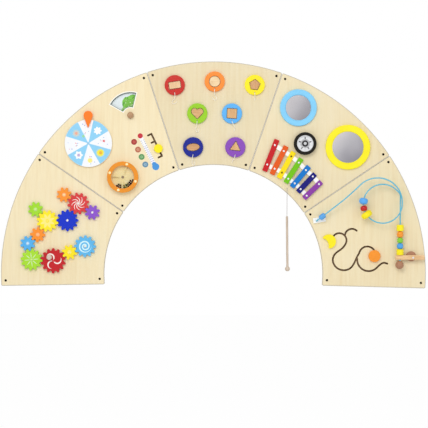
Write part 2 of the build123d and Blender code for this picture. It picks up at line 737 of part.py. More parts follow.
HUB_RIM_W = 3.0
HUB_CORE_R = 14.0
HUB_WEB_T = 10.0
HUB_SLOTS = 5
HUB_SLOT_DEPTH = 4.0
with BuildPart() as hub:
    with BuildSketch(spot(*ROAD_WHEEL, ROAD_WHEEL_BACK + 2.0)):
        Circle(TYRE_INNER_R)
        Circle(TYRE_INNER_R - HUB_RIM_W, mode=Mode.SUBTRACT)
    extrude(amount=ROAD_WHEEL_W - 4.0)
    with BuildSketch(spot(*ROAD_WHEEL, ROAD_WHEEL_BACK + 8.0)):
        Circle(TYRE_INNER_R - HUB_RIM_W / 2)
    extrude(amount=HUB_WEB_T)
    with BuildSketch(spot(*ROAD_WHEEL, ROAD_WHEEL_BACK + 8.0 + HUB_WEB_T - HUB_SLOT_DEPTH)):
        with PolarLocations(25.0, HUB_SLOTS, start_angle=90):
            SlotOverall(10.0, 5.0)
    extrude(amount=HUB_SLOT_DEPTH, mode=Mode.SUBTRACT)
    with BuildSketch(spot(*ROAD_WHEEL, ROAD_WHEEL_BACK)):
        Circle(HUB_CORE_R)
    extrude(amount=ROAD_WHEEL_W - 4.0)
    with BuildSketch(spot(*ROAD_WHEEL, ROAD_WHEEL_BACK)):
        Circle(ROAD_PIN_R + RUNNING_CLEARANCE)
    extrude(amount=ROAD_WHEEL_W, mode=Mode.SUBTRACT)
keep(hub.part, "wheel_hub")

# top end, bottom end, upper screw and lower screw of each bar, from the longest to the shortest
CHIME_BARS = [
    ((286.3, 622.8), (229.8, 477.4), (279.6, 595.7), (237.9, 509.6)),
    ((328.7, 592.7), (262.9, 463.4), (317.4, 570.2), (271.5, 491.0)),
    ((362.8, 567.2), (295.6, 446.1), (352.9, 545.6), (307.4, 472.8)),
    ((398.4, 536.7), (326.5, 425.2), (386.5, 517.8), (335.6, 445.4)),
    ((433.5, 500.7), (354.6, 405.6), (419.8, 483.1), (366.9, 424.1)),
    ((462.1, 466.9), (382.8, 382.4), (450.3, 455.3), (395.1, 396.7)),
    ((490.4, 430.8), (411.0, 354.1), (479.9, 419.2), (422.8, 367.0)),
]
RAIL_W = 20.0
BAR_BACK = PANEL_T + RAIL_T
BAR_SCREW_HEAD_R = 4.6
BAR_SCREW_HEAD_T = 2.6
MALLET_CORD_R = 1.25


def on_bar(top, bottom, screw):
    """The distance of a screw down its bar from the bar's middle, so that it sits on the bar's line."""
    middle = Vector((top[0] + bottom[0]) / 2, (top[1] + bottom[1]) / 2)
    along = Vector(bottom[0] - top[0], bottom[1] - top[1]).normalized()
    return (Vector(*screw) - middle).dot(along)


bars = []
screw_spots = []
for top, bottom, upper, lower in CHIME_BARS:
    bar_turn = degrees(atan2(bottom[1] - top[1], bottom[0] - top[0]))
    bar_length = hypot(bottom[0] - top[0], bottom[1] - top[1])
    bar_middle = ((top[0] + bottom[0]) / 2, (top[1] + bottom[1]) / 2)
    places = [on_bar(top, bottom, upper), on_bar(top, bottom, lower)]
    screw_spots += [on_circle(bar_middle, place, bar_turn) for place in places]
    with BuildPart() as bar:
        with BuildSketch(spot(*bar_middle, BAR_BACK, bar_turn)):
            RectangleRounded(bar_length, BAR_W, 3.0)
            with Locations(*((place, 0) for place in places)):
                Circle(BAR_SCREW_R, mode=Mode.SUBTRACT)
        extrude(amount=BAR_T)
        chamfer(bar.faces().sort_by(Axis.Y)[0].outer_wire().edges(), 0.8)
    bars.append(bar.part)
group(bars, "chime_bars")

rails = []
for row in (screw_spots[0::2], screw_spots[1::2]):
    with BuildPart() as rail:
        with BuildSketch(spot(0, 0, PANEL_T)):
            with BuildLine(mode=Mode.PRIVATE) as rail_line:
                Spline(*row)
            trace(rail_line.line, RAIL_W)
            with Locations(row[0], row[-1]):
                Circle(RAIL_W / 2)
            with Locations(*row):
                Circle(BAR_SCREW_R, mode=Mode.SUBTRACT)
        extrude(amount=RAIL_T)
    rails.append(rail.part)
group(rails, "chime_rails")


def steel_screw(place, seat, depth):
    """A round-headed screw: its head lies on a seat this far from the wall."""
    with BuildPart() as screw:
        with BuildSketch(spot(*place, seat - depth)):
            Circle(BAR_SCREW_R)
        extrude(amount=depth)
        with BuildSketch(spot(*place, seat)):
            Circle(BAR_SCREW_HEAD_R)
        extrude(amount=BAR_SCREW_HEAD_T)
        fillet(screw.faces().sort_by(Axis.Y)[0].edges(), 1.2)
    return screw.part


BRACKET_T = 12.0
BRACKET_BACK = 36.0
BRACKET_SCREW = (911.1, 85.5)
SCREW_IN_SPACER = 10.0
screws = [steel_screw(place, BAR_BACK + BAR_T, BAR_T + RAIL_T) for place in screw_spots]
screws.append(steel_screw(BRACKET_SCREW, BRACKET_BACK + BRACKET_T, BRACKET_T + SCREW_IN_SPACER))
group(screws, "steel_screws")

with BuildPart() as panel_music:
    add(panel_blank(1))
    pin_hole(ROAD_WHEEL, ROAD_PIN_R)
    pin_hole(MALLET_HOLE, MALLET_CORD_R + 0.5, 10.0)
keep(panel_music.part, "panel_music")

# The mallet hangs from its cord, clear of the wall.
MALLET_HEIGHT = 30.0
MALLET_TOP_Z = 271.5
MALLET_X = 334.5
STICK_R = 5.3
STICK_LENGTH = 232.0
BALL_R = 11.5
MALLET_LEAN = 0.9  # degrees
mallet_cord = rounded_tube(
    [(*MALLET_HOLE, 18.5), (*MALLET_HOLE, 25.0), (MALLET_HOLE[0], MALLET_HOLE[1] - 5.0, MALLET_HEIGHT),
     (MALLET_X - 1.0, MALLET_TOP_Z, MALLET_HEIGHT)],
    MALLET_CORD_R,
    "mallet cord",
)
keep(mallet_cord, "mallet_cord")

stick_top = point(MALLET_X - 1.0, MALLET_TOP_Z, MALLET_HEIGHT)
stick_way = Vector(sin(radians(MALLET_LEAN)), 0, -cos(radians(MALLET_LEAN)))
with BuildPart() as mallet:
    with BuildSketch(Plane(origin=stick_top, z_dir=stick_way)):
        Circle(STICK_R)
    extrude(amount=STICK_LENGTH)
    fillet(mallet.faces().sort_by(Axis.Z)[-1].edges(), 2.0)
    with Locations(stick_top + stick_way * (STICK_LENGTH + BALL_R - 3.0)):
        Sphere(BALL_R)
    add(mallet_cord, mode=Mode.SUBTRACT)
keep(mallet.part, "mallet")


# ---- Maze panel --------------------------------------------------------------------------

# The grooves: one long track from the moon round to the sun, and two dead ends off it.
MOON_ARC_R = 33.0
SUN_ARC_R = 37.3
MOON_START = 172.0
MOON_END = -27.0
SUN_START = 160.0
SUN_END = -10.0
MIDDLE_TRACK = [
    (584.1, 121.9), (556.2, 100.3), (545.8, 74.0), (556.5, 44.1),
    (586.6, 26.3), (622.2, 32.2), (645.6, 61.5), (661.1, 95.4),
]
UPPER_BRANCH = (632.8, 184.0)
UPPER_BRANCH_R = 31.7
LOWER_BRANCH = (710.4, 74.6)
LOWER_BRANCH_R = 52.5
LOWER_TAIL = [(755.1, 45.3), (766.3, 54.8), (779.4, 60.5), (796.2, 56.8)]


def arc_track(centre, radius, start, end, width):
    """Draws a round stretch of groove from one angle to another."""
    with BuildLine(mode=Mode.PRIVATE) as path:
        CenterArc(centre, radius, start, end - start)
    trace(path.line, width)
    with Locations(on_circle(centre, radius, start), on_circle(centre, radius, end)):
        Circle(width / 2)


def free_track(points, ways, width):
    """Draws a stretch of groove through these points, which leaves and arrives along these ways."""
    with BuildLine(mode=Mode.PRIVATE) as path:
        Spline(*points, tangents=ways)
    trace(path.line, width)
    with Locations(points[0], points[-1]):
        Circle(width / 2)


def clockwise(angle):
    """The way a point moves clockwise on a circle at this angle."""
    return (sin(radians(angle)), -cos(radians(angle)))


def maze_grooves(width):
    arc_track(MOON_ARC, MOON_ARC_R, MOON_START, MOON_END, width)
    free_track(
        [on_circle(MOON_ARC, MOON_ARC_R, MOON_END), *MIDDLE_TRACK, on_circle(SUN_ARC, SUN_ARC_R, SUN_START)],
        (clockwise(MOON_END), clockwise(SUN_START)),
        width,
    )
    arc_track(SUN_ARC, SUN_ARC_R, SUN_START, SUN_END, width)
    arc_track(UPPER_BRANCH, UPPER_BRANCH_R, 180.0, 47.0, width)
    arc_track(LOWER_BRANCH, LOWER_BRANCH_R, 176.0, 313.0, width)
    free_track(
        [on_circle(LOWER_BRANCH, LOWER_BRANCH_R, 313.0), *LOWER_TAIL],
        (clockwise(133.0), (0.95, -0.3)),
        width,
    )


with BuildPart() as panel_maze:
    add(panel_blank(2))
    with BuildSketch(spot(0, 0, 0)):
        maze_grooves(CHANNEL_W + 6.0)
    extrude(amount=BACK_PLATE_T, mode=Mode.SUBTRACT)
    with BuildSketch(spot(0, 0, 0)):
        maze_grooves(CHANNEL_W)
    extrude(amount=PANEL_T - SKIN_T, mode=Mode.SUBTRACT)
    with BuildSketch(spot(0, 0, 0)):
        maze_grooves(GROOVE_W)
    extrude(amount=PANEL_T, mode=Mode.SUBTRACT)
keep(panel_maze.part, "panel_maze")

# Thin plates close the season pocket and the channels, flush with the panels' backs.
PLATE_FIT = 0.2
with BuildPart() as season_plate:
    with BuildSketch(spot(*SEASON_CENTRE, 0)):
        Circle(SEASON_POCKET_R + 6.0 - PLATE_FIT)
    extrude(amount=BACK_PLATE_T)
with BuildPart() as slider_plate:
    with BuildSketch(spot(*SLIDER_TOP, 0, COMB_TURN)):
        with Locations((COMB_LENGTH / 2, -NOTCH_LENGTH / 2)):
            Rectangle(COMB_LENGTH + CHANNEL_W + 6 - 2 * PLATE_FIT, NOTCH_LENGTH + CHANNEL_W + 6 - 2 * PLATE_FIT)
    extrude(amount=BACK_PLATE_T)
with BuildPart() as maze_plate:
    with BuildSketch(spot(0, 0, 0)):
        maze_grooves(CHANNEL_W + 6.0 - 2 * PLATE_FIT)
    extrude(amount=BACK_PLATE_T)
group([season_plate.part, slider_plate.part, maze_plate.part], "back_plates")

MOON_R = 32.5
MOON_CENTRE = (526.5, 157.5)
MOON_BITE_R = 36.0
MOON_BITE = (-36.0, -21.0)  # from the moon's centre
SUN_R = 27.5
SUN_OFFSET = (-4.5, 0.0)  # of the disc from its stem


def crescent():
    """A fat crescent with soft horns, which opens to the lower left."""
    with BuildSketch(mode=Mode.PRIVATE) as outline:
        Circle(MOON_R)
        with Locations(MOON_BITE):
            Circle(MOON_BITE_R, mode=Mode.SUBTRACT)
        fillet(outline.vertices(), 3.0)
    add(outline.sketch)


def sun_disc():
    Circle(SUN_R)


moon_place = on_circle(MOON_ARC, MOON_ARC_R, MOON_START)
moon_offset = (MOON_CENTRE[0] - moon_place[0], MOON_CENTRE[1] - moon_place[1])
keep(captured_knob(moon_place, crescent, 12.0, moon_offset), "moon_knob")
keep(captured_knob(on_circle(SUN_ARC, SUN_ARC_R, SUN_END), sun_disc, 12.0, SUN_OFFSET), "sun_knob")

# The wire is one rod: it leaves the block, climbs, rounds the outer arc, then the loop, and drops
# through the stack to the end ball. Its corners are the vertices around each arc.
OUTER_ARC = (745.2, 335.9)
OUTER_ARC_R = 112.9
WIRE_LOW = 30.0
WIRE_HIGH = 80.0
LOOP_HEIGHT = 62.0
STACK_HEIGHT = 42.0
END_BALL_R = 19.0
END_BALL_Z = 52.0


def arc_corners(centre, radius, angles):
    """Corners between these angles, whose round path keeps to the arc."""
    corners = []
    for first, last in zip(angles, angles[1:]):
        half = radians(last - first) / 2
        corners.append(on_circle(centre, radius / cos(half), (first + last) / 2))
    return corners


outer_corners = arc_corners(OUTER_ARC, OUTER_ARC_R, (135, 112, 90, 67, 45, 22, 0))
outer_heights = (78.0, 80.0, 80.0, 78.0, 73.0, 67.0)
loop_corners = arc_corners(LOOP_CENTRE, LOOP_R, range(0, -313, -24))
wire_route = [(*WIRE_START, WIRE_LOW - 8.0), (*WIRE_START, 42.0), (604.6, 357.6, 64.0)]
wire_route += [(*corner, height) for corner, height in zip(outer_corners, outer_heights)]
wire_route += [(*corner, LOOP_HEIGHT) for corner in loop_corners]
wire_route += [(STACK_X, 376.5, LOOP_HEIGHT), (STACK_X, 340.0, STACK_HEIGHT), (STACK_X, END_BALL_Z, STACK_HEIGHT)]
wire = rounded_tube(wire_route, WIRE_R, "maze wire")
keep(wire, "maze_wire")

# The block, the bracket on its spacer, and the ball on the wire's end are turned and sawn wood.
BLOCK_L = 58.0
BLOCK_W = 24.0
BRACKET_L = 133.0
BRACKET_W = 21.0
SPACER_R = 23.0
bracket_middle = (897.5, BRACKET_Z)
with BuildPart() as wire_block:
    with BuildSketch(spot(*WIRE_BLOCK, PANEL_T, 10.0)):
        RectangleRounded(BLOCK_L, BLOCK_W, 4.0)
    extrude(amount=WIRE_LOW - PANEL_T)
    fillet(wire_block.faces().sort_by(Axis.Y)[0].edges(), 2.0)
    add(wire, mode=Mode.SUBTRACT)
with BuildPart() as bracket:
    with BuildSketch(spot(*bracket_middle, BRACKET_BACK)):
        RectangleRounded(BRACKET_L, BRACKET_W, 3.0)
        with Locations((BRACKET_SCREW[0] - bracket_middle[0], BRACKET_SCREW[1] - bracket_middle[1])):
            Circle(BAR_SCREW_R, mode=Mode.SUBTRACT)
    extrude(amount=BRACKET_T)
    fillet(bracket.faces().sort_by(Axis.Y)[0].outer_wire().edges(), 2.0)
    add(wire, mode=Mode.SUBTRACT)
with BuildPart() as spacer:
    with BuildSketch(spot(903.7, 91.8, PANEL_T)):
        Circle(SPACER_R)
    extrude(amount=BRACKET_BACK - PANEL_T)
    fillet(spacer.edges().filter_by(GeomType.CIRCLE), 2.0)
    with BuildSketch(spot(*BRACKET_SCREW, BRACKET_BACK - SCREW_IN_SPACER)):
        Circle(BAR_SCREW_R)
    extrude(amount=SCREW_IN_SPACER, mode=Mode.SUBTRACT)
with BuildPart() as end_ball:
    with Locations(point(STACK_X - 2.0, END_BALL_Z, STACK_HEIGHT)):
        Sphere(END_BALL_R)
    add(wire, mode=Mode.SUBTRACT)
group([wire_block.part, bracket.part, spacer.part, end_ball.part], "maze_supports")


# ---- Beads -------------------------------------------------------------------------------


def turned_bead(centre, way, length, radius, rounding):
    """A bead turned about the line it slides on, its edges rounded off this far."""
    half = length / 2
    with BuildPart() as bead:
        with BuildSketch(Plane(origin=centre - way * half, z_dir=way)):
            Circle(radius)
        extrude(amount=length)
        fillet(bead.edges().filter_by(GeomType.CIRCLE), rounding)
        with BuildSketch(Plane(origin=centre - way * (half + 1), z_dir=way)):
            Circle(BEAD_BORE_R)
        extrude(amount=length + 2, mode=Mode.SUBTRACT)
    return bead.part


def loop_bead(angle, length, radius, rounding):
    """A bead on the loop, whose bore follows the loop's own curve."""
    half = length / 2
    centre = point(*on_circle(LOOP_CENTRE, LOOP_R, angle), LOOP_HEIGHT)
    way = Vector(-sin(radians(angle)), 0, cos(radians(angle)))
    with BuildPart() as bead:
        with BuildSketch(Plane(origin=centre - way * half, z_dir=way)):
            Circle(radius)
        extrude(amount=length)
        fillet(bead.edges().filter_by(GeomType.CIRCLE), rounding)
        with Locations(spot(*LOOP_CENTRE, LOOP_HEIGHT)):
            Torus(LOOP_R, BEAD_BORE_R, mode=Mode.SUBTRACT)
    return bead.part


first_run = point(604.6, 357.6, 64.0) - point(*WIRE_START, 42.0)
START_BEAD_ALONG = 34.0
start_way = first_run.normalized()
keep(turned_bead(point(*WIRE_START, 42.0) + start_way * START_BEAD_ALONG, start_way, 30.0, 12.5, 6.0), "bead_start_blue")
keep(loop_bead(172.5, 29.0, 20.6, 13.0), "bead_loop_blue")
keep(loop_bead(194.0, 25.0, 16.0, 11.0), "bead_loop_red")
keep(loop_bead(214.5, 28.0, 26.0, 11.0), "bead_loop_yellow")

# name, length, radius and rounding of each bead in the stack, from the bracket up
STACK = [
    ("bead_stack_yellow_low", 27.0, 16.5, 4.0),
    ("bead_stack_blue", 27.0, 14.6, 11.0),
    ("bead_stack_green", 25.0, 13.3, 10.0),
    ("bead_stack_orange", 29.0, 14.9, 11.0),
    ("bead_stack_yellow_top", 29.0, 16.5, 4.0),
]
STACK_GAP = 0.35
level = BRACKET_Z + BRACKET_W / 2
for bead_name, bead_length, bead_r, bead_rounding in STACK:
    level += STACK_GAP
    middle = point(STACK_X, level + bead_length / 2, STACK_HEIGHT)
    keep(turned_bead(middle, Vector(0, 0, 1), bead_length, bead_r, bead_rounding), bead_name)
    level += bead_length
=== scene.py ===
import random
from math import asin, cos, pi, radians, sin

import bmesh
import bpy
from mathutils import Matrix, Vector


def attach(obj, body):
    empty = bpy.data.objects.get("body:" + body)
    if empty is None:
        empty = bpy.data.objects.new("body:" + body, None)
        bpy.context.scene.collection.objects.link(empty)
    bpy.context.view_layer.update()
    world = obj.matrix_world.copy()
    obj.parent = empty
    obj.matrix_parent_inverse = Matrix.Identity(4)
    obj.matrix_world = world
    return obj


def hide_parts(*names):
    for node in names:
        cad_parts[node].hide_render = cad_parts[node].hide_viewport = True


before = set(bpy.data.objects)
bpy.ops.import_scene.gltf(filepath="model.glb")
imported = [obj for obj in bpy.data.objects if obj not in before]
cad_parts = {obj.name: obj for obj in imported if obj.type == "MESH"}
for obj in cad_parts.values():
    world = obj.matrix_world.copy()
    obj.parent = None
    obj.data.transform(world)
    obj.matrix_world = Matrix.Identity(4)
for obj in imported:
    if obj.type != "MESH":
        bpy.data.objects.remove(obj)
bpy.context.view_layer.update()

# ---- Room: a pale floor below the hung board, soft lamps and the camera ------------------
# The board hangs on a wall, so the floor lies well below it, and the surroundings are white.
# Two broad soft boxes and an even sky light it as a studio does, without hard shadows.

ARCH_CENTRE = Vector((0.0, 0.0, -0.738))  # the centre of the half ring, on the wall's plane
TOYS_POINT = ARCH_CENTRE + Vector((0.0021, 0.0, -0.005))  # the toys are set out from it
FLOOR_Z = -1.45
FLOOR_GLOW = 0.975  # the rest of the floor's white is lit, so it takes a shadow
CAMERA_DISTANCE = 8.0
VIEW_CENTRE = Vector((0.0013, 0.0, -0.4630))
VIEW_WIDTH = 1.9645  # metres across the view, at the panels' faces
PANEL_FACE = 0.018  # out from the wall
CAMERA_ROLL = radians(-0.35)


def rays_seen(tree):
    """A number that is 1 for what the camera sees, also in metal and through glass."""
    rays = tree.nodes.new("ShaderNodeLightPath")
    seen = rays.outputs["Is Camera Ray"]
    for kind in ("Is Glossy Ray", "Is Transmission Ray"):
        either = tree.nodes.new("ShaderNodeMath")
        either.operation = "MAXIMUM"
        tree.links.new(seen, either.inputs[0])
        tree.links.new(rays.outputs[kind], either.inputs[1])
        seen = either.outputs[0]
    return seen


world = bpy.data.worlds.new("studio air")
world.use_nodes = True
sky = world.node_tree
air, backdrop = sky.nodes["Background"], sky.nodes.new("ShaderNodeBackground")
choice = sky.nodes.new("ShaderNodeMixShader")
air.inputs["Color"].default_value = (1.0, 0.99, 0.97, 1)
air.inputs["Strength"].default_value = 0.61
backdrop.inputs["Color"].default_value = (1, 1, 1, 1)
sky.links.new(rays_seen(sky), choice.inputs[0])
sky.links.new(air.outputs[0], choice.inputs[1])
sky.links.new(backdrop.outputs[0], choice.inputs[2])
sky.links.new(choice.outputs[0], sky.nodes["World Output"].inputs["Surface"])
bpy.context.scene.world = world


def soft_box(name, place, aim, width, height, power):
    """Hangs a rectangular soft box that faces a point on the board."""
    lamp = bpy.data.lights.new(name, "AREA")
    lamp.shape, lamp.size, lamp.size_y, lamp.energy = "RECTANGLE", width, height, power
    holder = bpy.data.objects.new(name, lamp)
    holder.location = place
    holder.rotation_euler = (Vector(aim) - Vector(place)).to_track_quat("-Z", "Y").to_euler()
    bpy.context.collection.objects.link(holder)


soft_box("overhead soft box", (-0.8, -4.2, 1.7), (0, 0, -0.4), width=3.4, height=2.0, power=84)
soft_box("side soft box", (2.6, -3.4, -1.0), (0, 0, -0.5), width=1.6, height=2.4, power=15)

floor_mesh = bpy.data.meshes.new("floor")
floor_corners = [(-9, -11, FLOOR_Z), (9, -11, FLOOR_Z), (9, 9, FLOOR_Z), (-9, 9, FLOOR_Z)]
floor_mesh.from_pydata(floor_corners, [], [(0, 1, 2, 3)])
floor = bpy.data.objects.new("floor", floor_mesh)
bpy.context.collection.objects.link(floor)
floor_paint = bpy.data.materials.new("white floor paint")
floor_paint.use_nodes = True
floor_tree = floor_paint.node_tree
floor_matt = floor_tree.nodes["Principled BSDF"]
floor_glow = floor_tree.nodes.new("ShaderNodeEmission")
floor_mix = floor_tree.nodes.new("ShaderNodeMixShader")
floor_share = floor_tree.nodes.new("ShaderNodeMath")
floor_share.operation = "MULTIPLY"
floor_share.inputs[1].default_value = FLOOR_GLOW
floor_matt.inputs["Base Color"].default_value = (0.95, 0.95, 0.95, 1)
floor_matt.inputs["Roughness"].default_value = 0.9
floor_tree.links.new(rays_seen(floor_tree), floor_share.inputs[0])
floor_tree.links.new(floor_share.outputs[0], floor_mix.inputs[0])
floor_tree.links.new(floor_matt.outputs[0], floor_mix.inputs[1])
floor_tree.links.new(floor_glow.outputs[0], floor_mix.inputs[2])
floor_tree.links.new(floor_mix.outputs[0], floor_tree.nodes["Material Output"].inputs["Surface"])
floor_mesh.materials.append(floor_paint)

camera = bpy.data.cameras.new("camera")
camera.sensor_fit, camera.sensor_width = "HORIZONTAL", 36.0
camera.lens = 36.0 * (CAMERA_DISTANCE - PANEL_FACE) / VIEW_WIDTH
eye = bpy.data.objects.new("camera", camera)
eye.location = VIEW_CENTRE + Vector((0, -CAMERA_DISTANCE, 0))
eye.rotation_euler = (pi / 2, CAMERA_ROLL, 0)
bpy.context.collection.objects.link(eye)
bpy.context.scene.camera = eye
bpy.context.scene.view_settings.view_transform = "Standard"


# ---- Panels: lacquered birch plywood -----------------------------------------------------
# Five sheets of 18 mm plywood, routed to shape, bevelled and clear-lacquered. The face veneer
# has a faint upright grain, and the sawn edges show the plies. The play prints are screen ink.


def on_board(x, z, height=18.0):
    """A point from millimetres off the toys' point, and millimetres out from the wall."""
    return TOYS_POINT + Vector((x, -height, z)) / 1000


class Socket:
    """One output of a shader node, on which a sum or comparison adds the node that works it out."""

    def __init__(self, finish, output):
        self.finish, self.output = finish, output

    def maths(self, operation, *values):
        """Works these values out with a Math node."""
        return self.finish.node("ShaderNodeMath", {"operation": operation}, values)

    def __add__(self, other):
        return self.maths("ADD", self, other)

    def __sub__(self, other):
        return self.maths("SUBTRACT", self, other)

    def __mul__(self, other):
        return self.maths("MULTIPLY", self, other)

    def __truediv__(self, other):
        return self.maths("DIVIDE", self, other)

    def __radd__(self, other):
        return self.maths("ADD", other, self)

    def __rsub__(self, other):
        return self.maths("SUBTRACT", other, self)

    def __rmul__(self, other):
        return self.maths("MULTIPLY", other, self)

    def __rtruediv__(self, other):
        return self.maths("DIVIDE", other, self)

    def __mod__(self, other):
        return self.maths("FLOORED_MODULO", self, other)

    def __pow__(self, other):
        return self.maths("POWER", self, other)

    def __abs__(self):
        return self.maths("ABSOLUTE", self)

    def __and__(self, other):
        return self.maths("MINIMUM", self, other)

    def __or__(self, other):
        return self.maths("MAXIMUM", self, other)

    def sin(self):
        return self.maths("SINE", self)

    def cos(self):
        return self.maths("COSINE", self)

    def root(self):
        return self.maths("SQRT", self)

    def edge(self, blur):
        """A mask that is 1 where this is above zero, with an edge this wide."""
        return self.finish.node(
            "ShaderNodeMath", {"operation": "MULTIPLY_ADD", "use_clamp": True}, (self, 1 / blur, 0.5)
        )


class Finish:
    """A material in the making. Colours are linear (red, green, blue)."""

    def __init__(self, name, roughness=0.4, coat=0.0, metallic=0.0, shine=0.3):
        self.material = bpy.data.materials.new(name)
        self.material.use_nodes = True
        self.tree = self.material.node_tree
        self.shader = self.tree.nodes["Principled BSDF"]
        self.set("Roughness", roughness)
        self.set("Coat Weight", coat)
        self.set("Metallic", metallic)
        self.set("Specular IOR Level", shine)

    def node(self, kind, settings, sockets, output=0):
        """Adds a node: its settings first, and then the values or links of its sockets."""
        node = self.tree.nodes.new(kind)
        for key, value in settings.items():
            if key == "stops":
                ramp = node.color_ramp
                while len(ramp.elements) < len(value):
                    ramp.elements.new(0.5)
                for element, (position, colour) in zip(ramp.elements, value):
                    element.position, element.color = position, (*colour, 1)
            else:
                setattr(node, key, value)
        for key, value in sockets.items() if isinstance(sockets, dict) else enumerate(sockets):
            self.feed(node.inputs[key], value)
        return Socket(self, node.outputs[output])

    def feed(self, entry, value):
        """Gives a node's socket a link, a colour or a number."""
        if isinstance(value, Socket):
            self.tree.links.new(value.output, entry)
        elif entry.type == "RGBA":
            entry.default_value = (*value, 1)
        else:
            entry.default_value = value

    def set(self, entry, value):
        """Gives one of the shader's own sockets a value or a link."""
        self.feed(self.shader.inputs[entry], value)

    def mix(self, mask, below, above):
        """One colour over another, where the mask is 1."""
        return self.node("ShaderNodeMix", {"data_type": "RGBA"}, {0: mask, 6: below, 7: above}, 2)

    def ramp(self, along, *stops):
        """A colour that runs through these stops, each at its share of the way."""
        return self.node("ShaderNodeValToRGB", {"stops": stops}, (along,))

    def dyed(self, colour, shade):
        """A colour, darkened and lightened by a shade."""
        settings = {"data_type": "RGBA", "blend_type": "MULTIPLY"}
        return self.node("ShaderNodeMix", settings, {0: 1.0, 6: colour, 7: shade}, 2)

    def colour(self):
        """The colour that the finish has so far."""
        return Socket(self, self.shader.inputs["Base Color"].links[0].from_socket)

    def lay(self, mask, colour):
        """Lays a colour over the finish, where the mask is 1."""
        self.set("Base Color", self.mix(mask, self.colour(), colour))

    def tint(self, colour, light):
        """A colour made lighter or darker by a number near 1."""
        return self.node("ShaderNodeVectorMath", {"operation": "SCALE"}, {0: colour, "Scale": light})

    def place(self):
        """The point's x, y and z in the board's own metres."""
        here = self.node("ShaderNodeTexCoord", {}, {}, "Object")
        return [self.node("ShaderNodeSeparateXYZ", {}, (here,), i) for i in range(3)]

    def noise(self, scale, detail=3.0, stretch=(1, 1, 1)):
        """Noise of this many lumps to the metre, drawn out along an axis by a small stretch number."""
        here = self.node("ShaderNodeTexCoord", {}, {}, "Object")
        spread = self.node("ShaderNodeVectorMath", {"operation": "MULTIPLY"}, (here, stretch))
        return self.node("ShaderNodeTexNoise", {}, {"Vector": spread, "Scale": scale, "Detail": detail})

    def distance(self, centre):
        """Metres from the line through this point of the board, straight out of the wall."""
        x, _, z = self.place()
        dx, dz = x - centre.x, z - centre.z
        return (dx * dx + dz * dz).root()

    def angle(self, up, across):
        """The angle of a direction in turns, from -0.5 to 0.5."""
        return self.node("ShaderNodeMath", {"operation": "ARCTAN2"}, (up, across)) / (2 * pi)

    def bump(self, height, strength, depth):
        """Presses a pattern into the surface, this many metres deep."""
        pressed = self.node("ShaderNodeBump", {}, {"Strength": strength, "Distance": depth, "Height": height})
        self.set("Normal", pressed)

    def onto(self, name):
        """Puts the finish on a CAD node."""
        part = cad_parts[name]
        for part_slot in part.material_slots:
            part_slot.material = self.material
        if not part.material_slots:
            part.data.materials.append(self.material)


def dye(red, green, blue):
    """A colour given as on a paint card, from 0 to 255, made linear for the shaders."""
    shares = (red / 255, green / 255, blue / 255)
    return tuple(v / 12.92 if v <= 0.04045 else ((v + 0.055) / 1.055) ** 2.4 for v in shares)


BIRCH = dye(241, 226, 188)
BIRCH_DARK = dye(234, 215, 172)
BIRCH_PALE = dye(245, 233, 201)
PLY_DARK = dye(196, 160, 118)
BEVEL_SHADE = dye(192, 184, 166)
EDGE_SHADE = dye(206, 196, 172)
PANEL_RADII = (0.501, 0.975)
SEAMS = (radians(18.6), radians(55.8))  # of each half, from upright
FOOT_DROP, FOOT_SLOPE = 0.0406, 0.0206  # the end panels' feet below the arch's centre
INK_BLUR = 0.0006
EDGE_SHADE_WIDTH = 0.0040
PLY_PAIR = 0.0036  # a pale ply and a dark one together


def between(value, low, high, blur=INK_BLUR):
    """A mask that is 1 between two numbers."""
    return (value - low).edge(blur) & (high - value).edge(blur)


def lean(finish):
    """Which way a face looks: -1 out from the wall, 0 along it, and 1 into it."""
    normal = finish.node("ShaderNodeNewGeometry", {}, {}, "Normal")
    return finish.node("ShaderNodeSeparateXYZ", {}, (normal,), 1)


def front_face(finish):
    """A mask that is 1 on what faces out from the wall."""
    return (-0.93 - lean(finish)).edge(0.04)


def from_edge(x, z):
    """Metres in from the nearest side of a panel: the two arcs, the seams and the feet."""
    across, up = abs(x - ARCH_CENTRE.x), z - ARCH_CENTRE.z
    radius = (across * across + up * up).root()
    inset = (radius - PANEL_RADII[0]) & (PANEL_RADII[1] - radius)
    inset = inset & (up + across * FOOT_SLOPE + FOOT_DROP)
    for seam in SEAMS:
        inset = inset & abs(across * cos(seam) - up * sin(seam))
    return inset


def plywood(name, tone=1.0):
    """Birch veneer on the flats, plies round the sides, and a band of painted shade by each edge."""
    finish = Finish(name, coat=0.15)
    x, y, z = finish.place()
    streaks = finish.noise(9, 4, (9, 1, 0.55))
    clouds = finish.noise(3.2, 2)
    pores = finish.noise(220, 2, (3.2, 1, 0.1))
    grain = streaks * 0.45 + clouds * 0.4 + 0.075
    veneer = finish.ramp(grain, (0.3, BIRCH_DARK), (0.5, BIRCH), (0.72, BIRCH_PALE))
    veneer = finish.tint(veneer, (0.95 + pores * 0.1) * tone)
    # A darker band along every edge and seam is painted shade, where the panels' edges and gaps fall into
    # shadow.
    edge_band = (EDGE_SHADE_WIDTH - from_edge(x, z)).edge(0.0022) * (0.5 + streaks * 0.3)
    veneer = finish.mix(edge_band, veneer, EDGE_SHADE)
    ply = ((y * (2 * pi / PLY_PAIR) + streaks * 0.8).sin() * 0.5 + 0.5) ** 1.5
    plies = finish.mix(ply, BIRCH, PLY_DARK)
    flatness = abs(lean(finish))
    finish.set("Base Color", finish.mix((0.5 - flatness).edge(0.1), veneer, plies))
    # The bevels are painted grey: painted shade on faces that turn away from the light.
    finish.lay(between(flatness, 0.5, 0.93, 0.04), BEVEL_SHADE)
    finish.set("Roughness", 0.36 + grain * 0.16)
    finish.bump(pores * 0.5 + streaks * 0.5, 0.25, 0.0004)
    return finish


# Each sheet is drawn in its own tone, a little lighter or darker than the next.
PANEL_TONES = {"panel_gears": 1.0, "panel_shapes": 0.90, "panel_music": 0.945, "panel_maze": 0.985}
for panel, tone in PANEL_TONES.items():
    plywood(f"{panel} birch plywood", tone).onto(panel)
